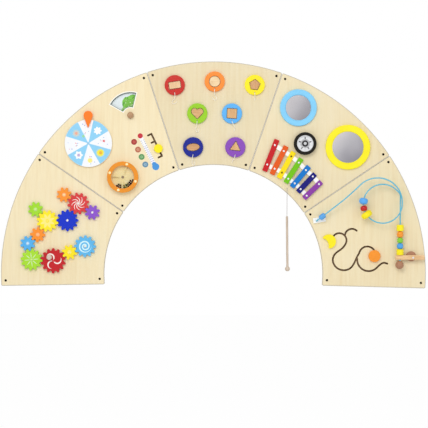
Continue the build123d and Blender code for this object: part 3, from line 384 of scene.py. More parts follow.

# ---- Wall screws -------------------------------------------------------------------------
# Twenty black steel screws, four to a panel, sunk in counterbores. Each has a low domed head
# with a small round recess.

SCREW_INSET = 0.0213
FOOT_SCREW_DROPS = (0.0357, 0.0259)  # of the end panels' lowest screws below the arch's centre
HEAD_R = 0.0054
HEAD_HEIGHT = 0.0125  # of the head's underside, out from the wall
HALF_PITCH = SEAMS[0]  # half the turn that one panel takes of the ring


def turned(name, profile, sides=48):
    """A mesh turned about +Y from (radius, distance out from the wall) pairs."""
    shape = bmesh.new()
    rings = []
    for radius, out in profile:
        if radius == 0:
            rings.append([shape.verts.new((0, -out, 0))])
        else:
            turns = [2 * pi * i / sides for i in range(sides)]
            rings.append([shape.verts.new((radius * cos(t), -out, radius * sin(t))) for t in turns])
    for lower, upper in zip(rings, rings[1:]):
        for i in range(sides):
            j = (i + 1) % sides
            corners = [
                lower[i % len(lower)], lower[j % len(lower)],
                upper[j % len(upper)], upper[i % len(upper)],
            ]
            shape.faces.new(list(dict.fromkeys(corners)))
    bmesh.ops.recalc_face_normals(shape, faces=shape.faces)
    for face in shape.faces:
        face.smooth = True
    mesh = bpy.data.meshes.new(name)
    shape.to_mesh(mesh)
    shape.free()
    piece = bpy.data.objects.new(name, mesh)
    bpy.context.collection.objects.link(piece)
    return piece


black_steel = Finish("blackened steel", roughness=0.45, shine=0.12)
black_steel.set("Base Color", black_steel.mix(black_steel.noise(900), dye(12, 10, 9), dye(30, 26, 24)))
head_profile = [
    (0, 0.0004), (0.0011, 0.0004), (0.0013, 0.0024), (0.0034, 0.0021),
    (0.0049, 0.0013), (HEAD_R, 0.0003), (0.0050, 0), (0, 0),
]
wall_screw = turned("wall_screws", [(r, out + HEAD_HEIGHT) for r, out in head_profile], 24)
heads = bmesh.new()
SCREW_RADII = (PANEL_RADII[1] - SCREW_INSET, PANEL_RADII[0] + SCREW_INSET)
for panel_index in range(-2, 3):
    for rim_r, drop in zip(SCREW_RADII, FOOT_SCREW_DROPS):
        for side in (-1, 1):
            turn = 2 * HALF_PITCH * panel_index + side * (HALF_PITCH - asin(SCREW_INSET / rim_r))
            if side * panel_index == 2:
                turn = side * (pi / 2 + asin(drop / rim_r))
            hole = ARCH_CENTRE + Vector((rim_r * sin(turn), 0, rim_r * cos(turn)))
            head = wall_screw.data.copy()
            head.transform(Matrix.Translation(hole))
            heads.from_mesh(head)
heads.to_mesh(wall_screw.data)
heads.free()
wall_screw.data.materials.append(black_steel.material)
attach(wall_screw, "board")

# ---- Gears -------------------------------------------------------------------------------
# Twelve toy gears, cut from plywood, rounded and dipped in gloss paint. The larger ones carry a
# screen-printed whirl, petals or rays. They run loose on their pins, so the paint stays glossy
# with faint brush waves, and rubs thin and pale only on the teeth's tips.


def gloss_paint(name, colour, waves=0.00008):
    """Gloss paint on wood: a deeper and a lighter cloud of the colour, and soft brush waves."""
    finish = Finish(name, coat=0.12, shine=0.25)
    clouds = finish.noise(14, 3)
    speck = finish.noise(260, 2)
    finish.set("Base Color", finish.tint(colour, 0.9 + clouds * 0.16 + speck * 0.04))
    finish.set("Roughness", 0.22 + clouds * 0.16)
    finish.bump(finish.noise(90, 2, (1, 1, 0.5)) + speck * 0.3, 0.35, waves)
    return finish


def about(finish, centre):
    """The radius in metres and the angle in turns about a point of the board."""
    x, _, z = finish.place()
    dx, dz = x - centre.x, z - centre.z
    return (dx * dx + dz * dz).root(), finish.angle(dz, dx)


def any_of(*masks):
    """One mask of all these shapes."""
    total = masks[0]
    for mask in masks[1:]:
        total = total | mask
    return total


def heading(degrees):
    """A step of one metre along the wall, in a direction counted anticlockwise from the right."""
    return Vector((cos(radians(degrees)), 0, sin(radians(degrees))))


ARM_R, ARM_OUT = 0.0190, 0.0195  # an arm's disc, and its middle's distance from the hub's
HOLLOW_R, HOLLOW_SIDE = 0.0172, 0.0045  # the disc that hollows it, a little to its side


def crescent_arm(finish, centre, direction):
    """An arm that starts at the hub and sweeps a half circle, thick in its middle."""
    way = heading(direction)
    across = Vector((-way.z, 0, way.x))
    middle = centre + way * ARM_OUT
    hollow = middle + across * HOLLOW_SIDE
    inside = (ARM_R - finish.distance(middle)).edge(INK_BLUR)
    return inside & (finish.distance(hollow) - HOLLOW_R).edge(INK_BLUR)


def arms(radius, turn, count, twist, width):
    """Curved arms from the hub: a mask of this many stripes, each this many metres wide."""
    step = (turn + radius * twist) * count
    across = abs((step % 1.0) - 0.5) * (2 * pi / count) * radius
    return (width * 0.5 - across).edge(INK_BLUR)


GEAR_MODULE = 0.00765
CRANK_CENTRE = on_board(-736.6, 61.2)
WHITE_INK, SPIRAL_INK = dye(252, 246, 238), dye(212, 246, 254)
ARM_WAYS = (12, 131, 247)  # degrees anticlockwise from the right
PRINT_R, BELLY_R = 0.0315, 0.019  # where the whirl and the rays end, and are widest
SPIRAL_TURNS = 76.0  # to the metre, out from its middle
# name: teeth, driver, direction from it, paint, and the print on its face
GEARS = {
    "gear_crank_red": (14, None, 0.0, dye(196, 26, 34), "three arms"),
    "gear_lime_large": (12, "gear_crank_red", 177.4, dye(168, 222, 48), "rays"),
    "gear_sky_small": (8, "gear_lime_large", 103.5, dye(84, 176, 236), "hub"),
    "gear_orange_lower": (8, "gear_sky_small", 41.6, dye(250, 146, 44), "hub"),
    "gear_yellow_large": (12, "gear_orange_lower", 54.9, dye(253, 232, 40), "petals"),
    "gear_lime_small": (8, "gear_yellow_large", 136.1, dye(160, 218, 44), "hub"),
    "gear_blue_large": (12, "gear_yellow_large", 2.1, dye(0, 46, 200), "plain"),
    "gear_red_large": (12, "gear_blue_large", 57.7, dye(216, 58, 60), "whirl"),
    "gear_orange_upper": (8, "gear_red_large", 148.7, dye(250, 150, 48), "hub"),
    "gear_purple_small": (8, "gear_red_large", -32.0, dye(140, 84, 206), "plain"),
    "gear_yellow_small": (8, "gear_crank_red", 28.2, dye(253, 230, 30), "hub"),
    "gear_sky_large": (12, "gear_yellow_small", 21.1, dye(96, 184, 236), "spiral"),
}
gear_centres = {}
for name, (teeth, driver, direction, paint, motif) in GEARS.items():
    centre = CRANK_CENTRE
    if driver:
        reach = GEAR_MODULE * (teeth + GEARS[driver][0]) / 2
        centre = gear_centres[driver] + reach * heading(direction)
    gear_centres[name] = centre
    gear_paint = gloss_paint(f"{name} paint", paint)
    radius, turn = about(gear_paint, centre)
    pale = ink = tuple(0.55 * c + 0.45 for c in paint)
    tip_r = GEAR_MODULE * (teeth / 2 + 0.6)
    edge_band = (radius - tip_r + 0.0006).edge(0.0012) * (gear_paint.noise(160, 3) - 0.42).edge(0.16)
    gear_paint.lay(edge_band * 0.5, pale)
    if motif == "three arms":
        ink = WHITE_INK
        arm = any_of(*(crescent_arm(gear_paint, centre, way) for way in ARM_WAYS))
    elif motif == "whirl":
        ink = WHITE_INK
        arm = arms(radius, turn, 8, -7.5, 0.0046 - abs(radius - BELLY_R) * 0.14)
        arm = arm & between(radius, 0.005, PRINT_R)
    elif motif == "rays":
        arm = arms(radius, turn + 0.045, 8, 0.0, 0.0042 - abs(radius - BELLY_R) * 0.2)
        arm = arm & between(radius, 0.006, PRINT_R)
    elif motif == "petals":
        lobes = abs((turn * 8.0 % 1.0) - 0.5) * 0.034
        arm = between(radius, 0.008, 0.034 - lobes) * 0.5
    elif motif == "spiral":
        ink = SPIRAL_INK
        coil = abs(((radius * SPIRAL_TURNS - turn + 0.12) % 1.0) - 0.5) / SPIRAL_TURNS
        arm = (0.0030 - coil).edge(INK_BLUR) & between(radius, 0.003, 0.0290)
    elif motif == "hub":
        arm = (0.0085 - radius).edge(INK_BLUR) * 0.6
    if motif != "plain":
        gear_paint.lay(arm & front_face(gear_paint), ink)
    gear_paint.onto(name)

# The crank is a turned beech peg on the red gear, oiled, with end grain on its top.

BEECH = dye(222, 182, 138)
BEECH_PALE = dye(238, 208, 168)
BEECH_DARK = dye(196, 150, 106)


def beech(name, light=BEECH_PALE, middle=BEECH, dark=BEECH_DARK, along="z"):
    """Oiled beech: soft streaks along the grain and short dark flecks."""
    finish = Finish(name, coat=0.12)
    stretch = {"x": (0.12, 1, 1), "y": (1, 0.12, 1), "z": (1, 1, 0.12)}[along]
    streaks = finish.noise(160, 4, stretch)
    broad = finish.noise(38, 3, stretch)
    flecks = (finish.noise(620, 2, stretch) - 0.6).edge(0.1)
    grain = streaks * 0.55 + broad * 0.45
    finish.set("Base Color", finish.ramp(grain, (0.28, dark), (0.5, middle), (0.72, light)))
    finish.lay(flecks * 0.35, dark)
    finish.set("Roughness", 0.4 + streaks * 0.16)
    finish.bump(streaks + flecks * 0.3, 0.3, 0.00015)
    return finish


peg_beech = beech("oiled beech peg", dye(226, 210, 198), dye(206, 184, 168), dye(176, 150, 132), "y")
peg_beech.onto("crank_knob")

# ---- Pivot pins --------------------------------------------------------------------------
# Each wheel turns on a pin with a low domed cap. Most caps match their gear in a paler tone,
# the road wheel's is silver, and the drum's is bare wood.

DRUM_CENTRE = on_board(-420.0, 446.4)
WEATHER_CENTRE = on_board(-578.8, 600.5)
ROAD_WHEEL = on_board(414.5, 605.2)
CAP_REACH = 0.02  # round a pin, well clear of the next one
cap = Finish("pin cap lacquer", roughness=0.28, coat=0.15)
cap.set("Base Color", cap.mix(cap.noise(300), dye(248, 246, 240), dye(234, 230, 222)))
for place, paint in (
    (gear_centres["gear_crank_red"], dye(214, 70, 70)),
    (gear_centres["gear_yellow_large"], dye(252, 236, 110)),
    (gear_centres["gear_yellow_small"], dye(252, 238, 120)),
    (gear_centres["gear_lime_large"], dye(206, 238, 130)),
    (gear_centres["gear_lime_small"], dye(208, 238, 140)),
    (gear_centres["gear_orange_lower"], dye(252, 196, 130)),
    (gear_centres["gear_orange_upper"], dye(253, 222, 150)),
    (gear_centres["gear_sky_small"], dye(206, 234, 250)),
    (DRUM_CENTRE, dye(150, 126, 96)),
    (WEATHER_CENTRE, dye(150, 205, 235)),
    (ROAD_WHEEL, dye(206, 208, 212)),
):
    cap.lay((CAP_REACH - cap.distance(place)).edge(0.001), paint)
cap.onto("pivot_pins")

# ---- Weather panel -----------------------------------------------------------------------
# The same plywood, with screen prints: a white line round the season window, a thermometer
# beside its comb groove, and four round weather marks.

weather_panel = plywood("printed birch plywood")


def rod(finish, start, end, radius):
    """A mask of a straight bar with round ends between two points of the board."""
    x, _, z = finish.place()
    run = end - start
    along = ((x - start.x) * run.x + (z - start.z) * run.z) / (run.x**2 + run.z**2)
    along = finish.node("ShaderNodeClamp", {}, (along, 0.0, 1.0))
    dx, dz = x - start.x - along * run.x, z - start.z - along * run.z
    return (radius - (dx * dx + dz * dz).root()).edge(INK_BLUR)


def disc(finish, centre, radius):
    """A mask of a round print."""
    return (radius - finish.distance(centre)).edge(INK_BLUR)


SEASON_CENTRE = on_board(-386.8, 730.7)
WINDOW_RADII = (0.040, 0.104)
WINDOW_TURNS = (77 / 360, 151 / 360)
season_radius, season_turn = about(weather_panel, SEASON_CENTRE)


def window_border(line):
    """A mask of the season window and a margin this wide round it."""
    side_line = line / (2 * pi) / season_radius
    return (
        (season_radius - WINDOW_RADII[0] + line).edge(INK_BLUR)
        & (WINDOW_RADII[1] + line - season_radius).edge(INK_BLUR)
        & (season_turn - WINDOW_TURNS[0] + side_line).edge(0.002)
        & (WINDOW_TURNS[1] + side_line - season_turn).edge(0.002)
    )


PRINT_WHITE, WINDOW_EDGE_SHADE = dye(252, 251, 244), dye(112, 124, 114)
TUBE_WHITE, COLUMN_LILAC, TICK_INK = dye(246, 248, 253), dye(214, 214, 240), dye(84, 98, 140)
HOT_RED, COLD_BLUE = dye(196, 38, 54), dye(66, 148, 220)
TUBE_TOP, TUBE_FOOT = on_board(-340.0, 632.0), on_board(-274.0, 500.0)
COLUMN_TOP = on_board(-318.0, 588.0)
TUBE_R, COLUMN_R = 0.0092, 0.0020
TICK_PITCH, TICK_GAP = 0.0095, 0.0068
TICK_SPAN, TICKED_LENGTH = (0.0046, 0.0084), (0.016, 0.128)  # across the tube, and down it
tube = rod(weather_panel, TUBE_TOP, TUBE_FOOT, TUBE_R)
column = rod(weather_panel, COLUMN_TOP, TUBE_FOOT, COLUMN_R)
along_tube = (TUBE_FOOT - TUBE_TOP).normalized()
px, _, pz = weather_panel.place()
down_tube = (px - TUBE_TOP.x) * along_tube.x + (pz - TUBE_TOP.z) * along_tube.z
across_tube = (px - TUBE_TOP.x) * along_tube.z - (pz - TUBE_TOP.z) * along_tube.x
ticks = (abs((down_tube / TICK_PITCH % 1.0) - 0.5) * TICK_PITCH - TICK_GAP / 2).edge(INK_BLUR)
ticks = ticks & between(abs(across_tube), *TICK_SPAN) & between(down_tube, *TICKED_LENGTH)
bulb = any_of(
    disc(weather_panel, on_board(-269.5, 495.5), 0.0162),
    rod(weather_panel, on_board(-276.5, 507.0), on_board(-274.0, 504.0), 0.0105),
)
on_veneer = front_face(weather_panel)
for mask, ink in (
    (window_border(0.0062) & on_veneer, PRINT_WHITE),
    # The dark line round the window is painted shade of the window's cut edge.
    (window_border(0.0024), WINDOW_EDGE_SHADE),
    (tube & on_veneer, TUBE_WHITE),
    (column & tube & on_veneer, COLUMN_LILAC),
    (ticks & tube & on_veneer, TICK_INK),
    (disc(weather_panel, on_board(-341.5, 636.5), 0.0118) & on_veneer, HOT_RED),
    (bulb & on_veneer, COLD_BLUE),
):
    weather_panel.lay(mask, ink)
MARK_R, FLOWER_R, EYE_R = 0.0136, 0.0082, 0.0022
for place, paint, light in (
    ((-369.5, 608.7), dye(160, 44, 38), dye(206, 100, 84)),
    ((-351.4, 573.5), dye(184, 108, 78), dye(220, 164, 136)),
    ((-334.7, 540.1), dye(86, 148, 88), dye(158, 202, 150)),
    ((-317.5, 505.3), dye(94, 140, 170), dye(168, 202, 220)),
):
    centre = on_board(*place)
    radius, turn = about(weather_panel, centre)
    petals = abs((turn * 5.0 % 1.0) - 0.5) * 0.008
    flower = (FLOWER_R - petals - radius).edge(INK_BLUR) & (radius - EYE_R).edge(INK_BLUR)
    weather_panel.lay(disc(weather_panel, centre, MARK_R) & on_veneer, paint)
    weather_panel.lay(flower * 0.75 * on_veneer, light)
weather_panel.onto("panel_weather")

# The weather wheel is a printed birch disc: blue and white sectors that hold simple marks,
# under matt lacquer. It spins past a fixed orange pointer.

WEATHER_R = 0.109
SECTORS = ((12, 58), (105, 150), (196, 240), (287, 333))  # degrees clockwise from the top
SKY_INK, SNOW_INK = dye(142, 208, 244), dye(243, 246, 252)
SPECK_INKS = [dye(232, 150, 160), dye(160, 176, 226), dye(150, 190, 220)]
wheel_print = Finish("weather wheel print", roughness=0.4, coat=0.1)
radius, turn = about(wheel_print, WEATHER_CENTRE)
clock = (0.25 - turn) * 360 % 360
sectors = any_of(*(between(clock, *ends, 1.0) for ends in SECTORS))
inner = (WEATHER_R - 0.0012 - radius).edge(INK_BLUR)
wheel_print.set("Base Color", wheel_print.mix(sectors & inner, SNOW_INK, SKY_INK))


def at_clock(clock_angle, out):
    """A point of the wheel: degrees clockwise from the top, and metres from its centre."""
    return WEATHER_CENTRE + Vector((sin(radians(clock_angle)), 0, cos(radians(clock_angle)))) * out


def blossom(finish, centre, size, lobes):
    """A mask of a round flower."""
    radius, turn = about(finish, centre)
    wave = (turn * (2 * pi * lobes)).cos() * (size * 0.14)
    return (size * 0.86 + wave - radius).edge(INK_BLUR)


random.seed(4)
for clock_angle, out, size, lobes, paint in (
    (36, 0.072, 0.0185, 7, dye(250, 251, 253)), (128, 0.070, 0.0195, 16, dye(246, 232, 60)),
    (128, 0.070, 0.0085, 1, dye(236, 178, 60)), (219, 0.070, 0.0195, 6, dye(247, 249, 252)),
    (219, 0.070, 0.0080, 6, dye(190, 172, 216)), (309, 0.072, 0.0175, 9, dye(200, 208, 204)),
    (309, 0.072, 0.0080, 9, dye(236, 170, 150)), (325, 0.040, 0.0070, 5, dye(150, 214, 160)),
    (174, 0.079, 0.0125, 12, dye(246, 236, 128)), (81, 0.072, 0.0065, 5, dye(226, 110, 118)),
):
    wheel_print.lay(blossom(wheel_print, at_clock(clock_angle, out), size, lobes) & inner, paint)
for middle, dots in ((-8, 7), (81, 5), (174, 5), (264, 8)):
    for _ in range(dots):
        place = at_clock(middle + random.uniform(-15, 15), random.uniform(0.045, 0.095))
        speck = disc(wheel_print, place, random.uniform(0.0016, 0.0028))
        wheel_print.lay(speck, random.choice(SPECK_INKS))
grain = wheel_print.noise(60, 3, (1, 1, 0.2))
wheel_print.set("Base Color", wheel_print.tint(wheel_print.colour(), 0.97 + grain * 0.06))
wheel_print.lay(1 - front_face(wheel_print), dye(240, 232, 214))
wheel_print.bump(grain, 0.25, 0.00008)
wheel_print.onto("weather_wheel")

gloss_paint("pointer paint", dye(252, 124, 24)).onto("weather_pointer")

# The season disc is printed hardboard. Its beech knob drives it, and each quarter shows hills
# and dots in the colours of a season.

HILL_R, FAR_HILL_R, RIM_R = 0.072, 0.092, 0.1025
season_print = Finish("season disc print", roughness=0.5)
radius, turn = about(season_print, SEASON_CENTRE)
quarter = (turn + 1.0) * 4 % 4
ground = season_print.mix((quarter - 1.9).edge(0.1), dye(226, 236, 240), dye(232, 238, 226))
leaf = season_print.mix((quarter - 2.0).edge(0.02), dye(120, 188, 70), dye(222, 150, 60))
leaf_dark = season_print.mix((quarter - 2.0).edge(0.02), dye(72, 138, 52), dye(176, 92, 40))
rise = (quarter - 1.33).edge(0.28)  # the hills fall away towards the season's end
hills = (HILL_R - rise * 0.026 + (turn * (2 * pi * 11)).sin() * 0.006 - radius).edge(INK_BLUR)
far_hills = (FAR_HILL_R - rise * 0.040 + (turn * (2 * pi * 9) + 1.2).sin() * 0.005 - radius).edge(INK_BLUR)
here = season_print.node("ShaderNodeTexCoord", {}, {}, "Object")
cells = season_print.node("ShaderNodeTexVoronoi", {"feature": "F1"}, {"Vector": here, "Scale": 120.0})
leaves = (0.36 - cells).edge(0.06)
season_print.set("Base Color", ground)
season_print.lay(far_hills, season_print.tint(leaf, 1.15))
season_print.lay(leaves * far_hills * 0.8, leaf_dark)
season_print.lay(hills, leaf)
season_print.lay(hills * leaves * 0.5, dye(238, 244, 220))
# A dark ring at the disc's rim is painted shade, cast by the window's edge onto the disc.
season_print.lay((radius - RIM_R).edge(INK_BLUR), dye(104, 122, 116))
season_print.onto("season_disc")

knob_beech = beech("oiled beech knob", dye(206, 172, 138), dye(186, 146, 108), dye(150, 112, 80), "y")
knob_beech.onto("season_knob")

# The slider is a yellow-painted beech button, caught in the comb groove by its foot.
# The moon and the sun on the maze panel are held in the same way.

STEM_TOP = 0.0188  # out from the wall, where a knob's bare foot ends
KNOB_PAINTS = {
    "slider_knob": dye(254, 234, 18), "moon_knob": dye(254, 236, 30), "sun_knob": dye(250, 152, 44),
}
for name, paint in KNOB_PAINTS.items():
    knob_paint = gloss_paint(f"{name} paint", paint, 0.00005)
    knob_paint.lay((knob_paint.place()[1] + STEM_TOP).edge(0.0004), BEECH)
    knob_paint.onto(name)

# The back plates are thin stained birch. They close the channels, and their dark brown is also
# painted shade, so the grooves look dark.

plate_stain_and_shade = Finish("stained back plates with painted groove shade", roughness=0.7)
streaks = plate_stain_and_shade.noise(90, 3, (1, 1, 0.2))
plate_stain_and_shade.set("Base Color", plate_stain_and_shade.mix(streaks, dye(122, 98, 74), dye(156, 128, 98)))
plate_stain_and_shade.onto("back_plates")

# ---- Drum --------------------------------------------------------------------------------
# A shallow rattle: a beech floor with baffles, a painted ring pegged on with four plugs, a
# clear acrylic window, and loose dried seeds that settle at the bottom, green ones in the middle.

RING_BORE = 0.0526  # the ring is bare wood inside it
drum_beech = beech("drum beech", dye(255, 246, 198), dye(255, 240, 180), dye(250, 224, 158), "x")
drum_beech.onto("drum_base")
drum_paint = gloss_paint("drum ring paint", dye(234, 145, 35))
drum_paint.lay((RING_BORE - drum_paint.distance(DRUM_CENTRE)).edge(0.0006), dye(224, 190, 138))
drum_paint.onto("drum_ring")

acrylic = Finish("clear acrylic", roughness=0.06)
acrylic.set("Base Color", (0.12, 0.12, 0.12))
acrylic.set("Alpha", 0.05)
acrylic.onto("drum_window")

GREEN_SPAN = (-0.008, 0.022)  # of the green seeds, across from the drum's middle
seeds = Finish("dried seeds", roughness=0.5, shine=0.12)
island = seeds.node("ShaderNodeNewGeometry", {}, {}, "Random Per Island")
brown_seeds = seeds.ramp(
    island, (0.0, dye(40, 18, 12)), (0.35, dye(66, 28, 16)), (0.7, dye(96, 40, 22)),
    (0.9, dye(150, 96, 40)), (1.0, dye(44, 24, 14)),
)
green_seeds = seeds.ramp(
    island, (0.0, dye(46, 62, 14)), (0.35, dye(84, 110, 20)), (0.6, dye(120, 142, 38)),
    (0.85, dye(222, 206, 112)), (1.0, dye(58, 50, 18)),
)
settled_green = between(seeds.place()[0] - DRUM_CENTRE.x, *GREEN_SPAN)
seed_colour = seeds.mix(settled_green, brown_seeds, green_seeds)
seeds.set("Base Color", seeds.tint(seed_colour, 0.85 + seeds.noise(500, 2) * 0.3))
seeds.onto("drum_granules")

# ---- Shape rings and blocks --------------------------------------------------------------
# Seven painted rings are glued to the centre panel. Each has a cut-out that takes its own
# beech block, which lifts straight out.

SHAPES = {
    "rectangle_block": ((-184.3, 869.6), dye(198, 34, 22)),
    "circle_block": ((-1.3, 887.3), dye(250, 142, 48)),
    "pentagon_block": ((182.4, 872.8), dye(254, 236, 24)),
    "heart_block": ((-80.2, 740.8), dye(152, 208, 30)),
    "square_block": ((78.6, 741.3), dye(92, 178, 244)),
    "ellipse_block": ((-98.6, 585.6), dye(2, 26, 142)),
    "triangle_block": ((95.1, 586.7), dye(137, 74, 186)),
}
RING_REACH = 0.062
ring_paint = gloss_paint("shape ring paint", (1, 1, 1))
ring_colour = (0.5, 0.5, 0.5)
for place, paint in SHAPES.values():
    near = (RING_REACH - ring_paint.distance(on_board(*place))).edge(0.001)
    ring_colour = ring_paint.mix(near, ring_colour, paint)
ring_paint.set("Base Color", ring_paint.dyed(ring_colour, ring_paint.colour()))
ring_paint.onto("shape_rings")

BLOCK_WOODS = [
    (dye(250, 228, 190), dye(240, 210, 164), dye(220, 184, 136)),
    (dye(233, 196, 146), dye(219, 174, 121), dye(195, 146, 95)),
    (dye(223, 179, 132), dye(209, 159, 110), dye(181, 131, 86)),
    (dye(243, 212, 170), dye(232, 193, 148), dye(210, 166, 120)),
]
for index, (name, wood) in enumerate(zip(SHAPES, (3, 0, 2, 1, 1, 2, 1))):
    beech(f"{name} beech", *BLOCK_WOODS[wood], "x" if index % 2 else "z").onto(name)

# ---- Cords -------------------------------------------------------------------------------
# Short cotton cords, knotted behind the rings, come out of a hole below each cut-out and hang
# in front of the panel. A longer one ties the mallet to the music panel.

YARN_PITCH = 0.0016  # from one yarn's crown to the next


def twisted_cotton(name, light, dark):
    """Two fluffy yarns, laid up into a cord, with painted shade in the groove between them."""
    finish = Finish(name, roughness=0.85)
    x, y, z = finish.place()
    plait = ((z + x * 0.7 + y * 0.5) * (2 * pi / YARN_PITCH)).sin() * 0.5 + 0.5
    fluff = finish.noise(1400, 2)
    # The darker colour along the plait is painted shade in the groove between the yarns.
    finish.set("Base Color", finish.mix(plait * 0.4 + fluff * 0.2, light, dark))
    finish.bump(plait + fluff, 0.5, 0.0003)
    return finish


white_cotton = twisted_cotton("twisted white cotton", dye(255, 253, 246), dye(240, 232, 214))
grey_cotton = twisted_cotton("twisted grey cotton", dye(196, 192, 188), dye(166, 160, 154))
CORD_R = 0.0013


def cotton_cord(name, route, radius, cotton):
    """A cord along a smooth line that these points pull into shape."""
    line = bpy.data.curves.new(name, "CURVE")
    line.dimensions = "3D"
    line.bevel_depth, line.bevel_resolution, line.resolution_u = radius, 3, 8
    strand = line.splines.new("NURBS")
    strand.points.add(len(route) - 1)
    for knot, place in zip(strand.points, route):
        knot.co = (*place, 1)
    strand.order_u = 3
    strand.use_endpoint_u = True
    line.materials.append(cotton.material)
    cord = bpy.data.objects.new(name, line)
    bpy.context.collection.objects.link(cord)
    return cord


# Each cord's length in metres, and its route: across and up from its hole, and out from the
# wall, in millimetres.
SHAPE_CORDS = {
    "rectangle_block": (0.093, [
        (0, 0, 25.0), (0, 0, 34.0), (0.5, -7.0, 37.0), (1.5, -18.0, 33.0),
        (-1.0, -28.0, 24.0), (-8.5, -37.5, 21.5), (-14.0, -46.0, 21.0), (-6.0, -52.5, 20.6),
        (5.0, -49.0, 20.6), (11.0, -40.0, 21.0),
    ]),
    "circle_block": (0.088, [
        (0, 0, 25.0), (0, 0, 34.0), (-0.6, -7.0, 37.0), (-1.2, -18.0, 33.0),
        (1.2, -27.5, 24.0), (7.0, -36.0, 21.5), (10.5, -45.5, 21.0), (3.0, -52.0, 20.6),
        (-6.5, -47.5, 20.6), (-10.0, -38.5, 21.0),
    ]),
    "pentagon_block": (0.049, [
        (0, 0, 25.0), (0, 0, 34.0), (0.5, -7.0, 36.5), (0.5, -17.5, 32.0),
        (1.6, -27.0, 24.0), (0.5, -36.5, 21.5),
    ]),
    "heart_block": (0.0886, [
        (0, 0, 25.0), (0, 0, 34.0), (-0.8, -7.0, 37.0), (-2.6, -18.0, 33.5),
        (-5.0, -29.0, 25.0), (-7.0, -38.0, 21.8), (-6.0, -46.5, 21.0), (-0.5, -52.0, 21.0),
        (6.0, -50.5, 21.0), (8.0, -43.0, 21.2), (5.0, -35.0, 21.6),
    ]),
    "square_block": (0.067, [
        (0, 0, 25.0), (0, 0, 34.0), (1.5, -7.0, 36.5), (5.5, -15.5, 33.0),
        (11.5, -23.5, 25.5), (14.5, -31.5, 22.0), (12.5, -41.0, 21.0), (9.0, -50.5, 21.0),
    ]),
    "ellipse_block": (0.0835, [
        (0, 0, 25.0), (0, 0, 34.0), (-1.0, -7.0, 37.0), (-3.0, -18.0, 33.5),
        (-4.0, -29.5, 25.0), (-4.8, -37.5, 22.0), (-3.5, -44.5, 21.0), (2.0, -48.5, 21.0),
        (8.0, -46.0, 21.0), (9.0, -39.0, 21.2), (6.5, -32.0, 21.6),
    ]),
    "triangle_block": (0.053, [
        (0, 0, 25.0), (0, 0, 34.0), (-1.5, -7.0, 36.5), (-4.0, -15.5, 32.5),
        (-8.5, -23.0, 25.5), (-12.5, -29.5, 22.0), (-15.5, -37.0, 21.2),
    ]),
}
CORD_HOLE_DROP = 33.5
for name, (length, route) in SHAPE_CORDS.items():
    (ring_x, ring_z), _ = SHAPES[name]
    hole_z = ring_z - CORD_HOLE_DROP
    points = [on_board(ring_x + across, hole_z + up, height) for across, up, height in route]
    cord = cotton_cord(name.replace("block", "cord"), points, CORD_R, white_cotton)
    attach(cord, "board")
    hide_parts("shape_cords")

MALLET_CORD_R = 0.00125
MALLET_HOLE = (333.6, 399.1)
MALLET_TOP = (333.5, 271.5)
mallet_route = [
    on_board(*MALLET_HOLE, 18.5), on_board(*MALLET_HOLE, 25.0),
    on_board(MALLET_HOLE[0], MALLET_HOLE[1] - 5.0, 30.0), on_board(*MALLET_TOP, 30.0),
]
mallet_cord = cotton_cord("mallet_cord_line", mallet_route, MALLET_CORD_R, grey_cotton)
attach(mallet_cord, "mallet")
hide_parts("mallet_cord")
mallet_beech = beech("mallet beech", dye(228, 214, 198), dye(208, 190, 172), dye(178, 160, 142), "z")
mallet_beech.onto("mallet")

# ---- Mirrors -----------------------------------------------------------------------------
# Two round frames, painted and bevelled inside, each hold an acrylic mirror in a rear rebate.

BLUE_MIRROR, YELLOW_MIRROR = on_board(383.2, 769.8), on_board(611.5, 589.9)
MIRROR_REACH = 0.096


def by_blue_mirror(finish):
    """A mask of the blue frame and its mirror."""
    return (MIRROR_REACH - finish.distance(BLUE_MIRROR)).edge(0.001)


frame_paint = gloss_paint("mirror frame paint", (1, 1, 1))
frame_colour = frame_paint.mix(by_blue_mirror(frame_paint), dye(254, 240, 34), dye(132, 208, 250))
frame_paint.set("Base Color", frame_paint.dyed(frame_colour, frame_paint.colour()))
frame_paint.onto("mirror_frames")

silvering = Finish("acrylic mirror", metallic=1.0)
haze = silvering.noise(7, 2)
x, _, z = silvering.place()
over_blue = by_blue_mirror(silvering)
middle_x = YELLOW_MIRROR.x + over_blue * (BLUE_MIRROR.x - YELLOW_MIRROR.x)
middle_z = YELLOW_MIRROR.z + over_blue * (BLUE_MIRROR.z - YELLOW_MIRROR.z)
# The mirrors' tint runs light at the upper left to dark at the lower right: a painted reflection.
reflection_fall = ((x - middle_x) - (z - middle_z)) * 3.0 + 0.5 + (haze - 0.5) * 0.5
painted_reflection = silvering.ramp(
    reflection_fall, (0.1, dye(214, 210, 212)), (0.5, dye(184, 182, 187)), (0.9, dye(136, 134, 142))
)
silvering.set("Base Color", painted_reflection)
silvering.set("Roughness", 0.05 + haze * 0.08)
silvering.onto("mirrors")

# ---- Road wheel --------------------------------------------------------------------------
# A toy wheel: a soft black tyre with fine grooves round its tread, on a silvered hub that is
# moulded with five blind slots and a black boss. The hub's mottle is painted reflection, and its
# slot floors and a ring round its boss are painted shade.

TREAD_R, TREAD_BLOCKS = 0.0488, 48
WALL_RING_PITCH = 0.0042
SLOT_RADII = (0.016, 0.034)
SLOT_MOUTH = 0.0386  # out from the wall
DISH_R, BOSS_R = 0.0215, 0.0146
rubber = Finish("tyre rubber", roughness=0.62, shine=0.12)
radius, turn = about(rubber, ROAD_WHEEL)
wall_rings = (radius * (2 * pi / WALL_RING_PITCH)).sin() * 0.5 + 0.5
blocks = ((turn * (2 * pi * TREAD_BLOCKS)) + rubber.place()[1] * 500).sin() * 0.5 + 0.5
tread = (radius - TREAD_R).edge(0.0008)
rubber.set("Base Color", rubber.mix(rubber.noise(240, 3), dye(20, 18, 15), dye(42, 39, 34)))
rubber.bump(wall_rings * 0.5 * (1 - tread) + blocks * tread + rubber.noise(700, 2) * 0.15, 0.6, 0.0006)
rubber.onto("wheel_tyre")

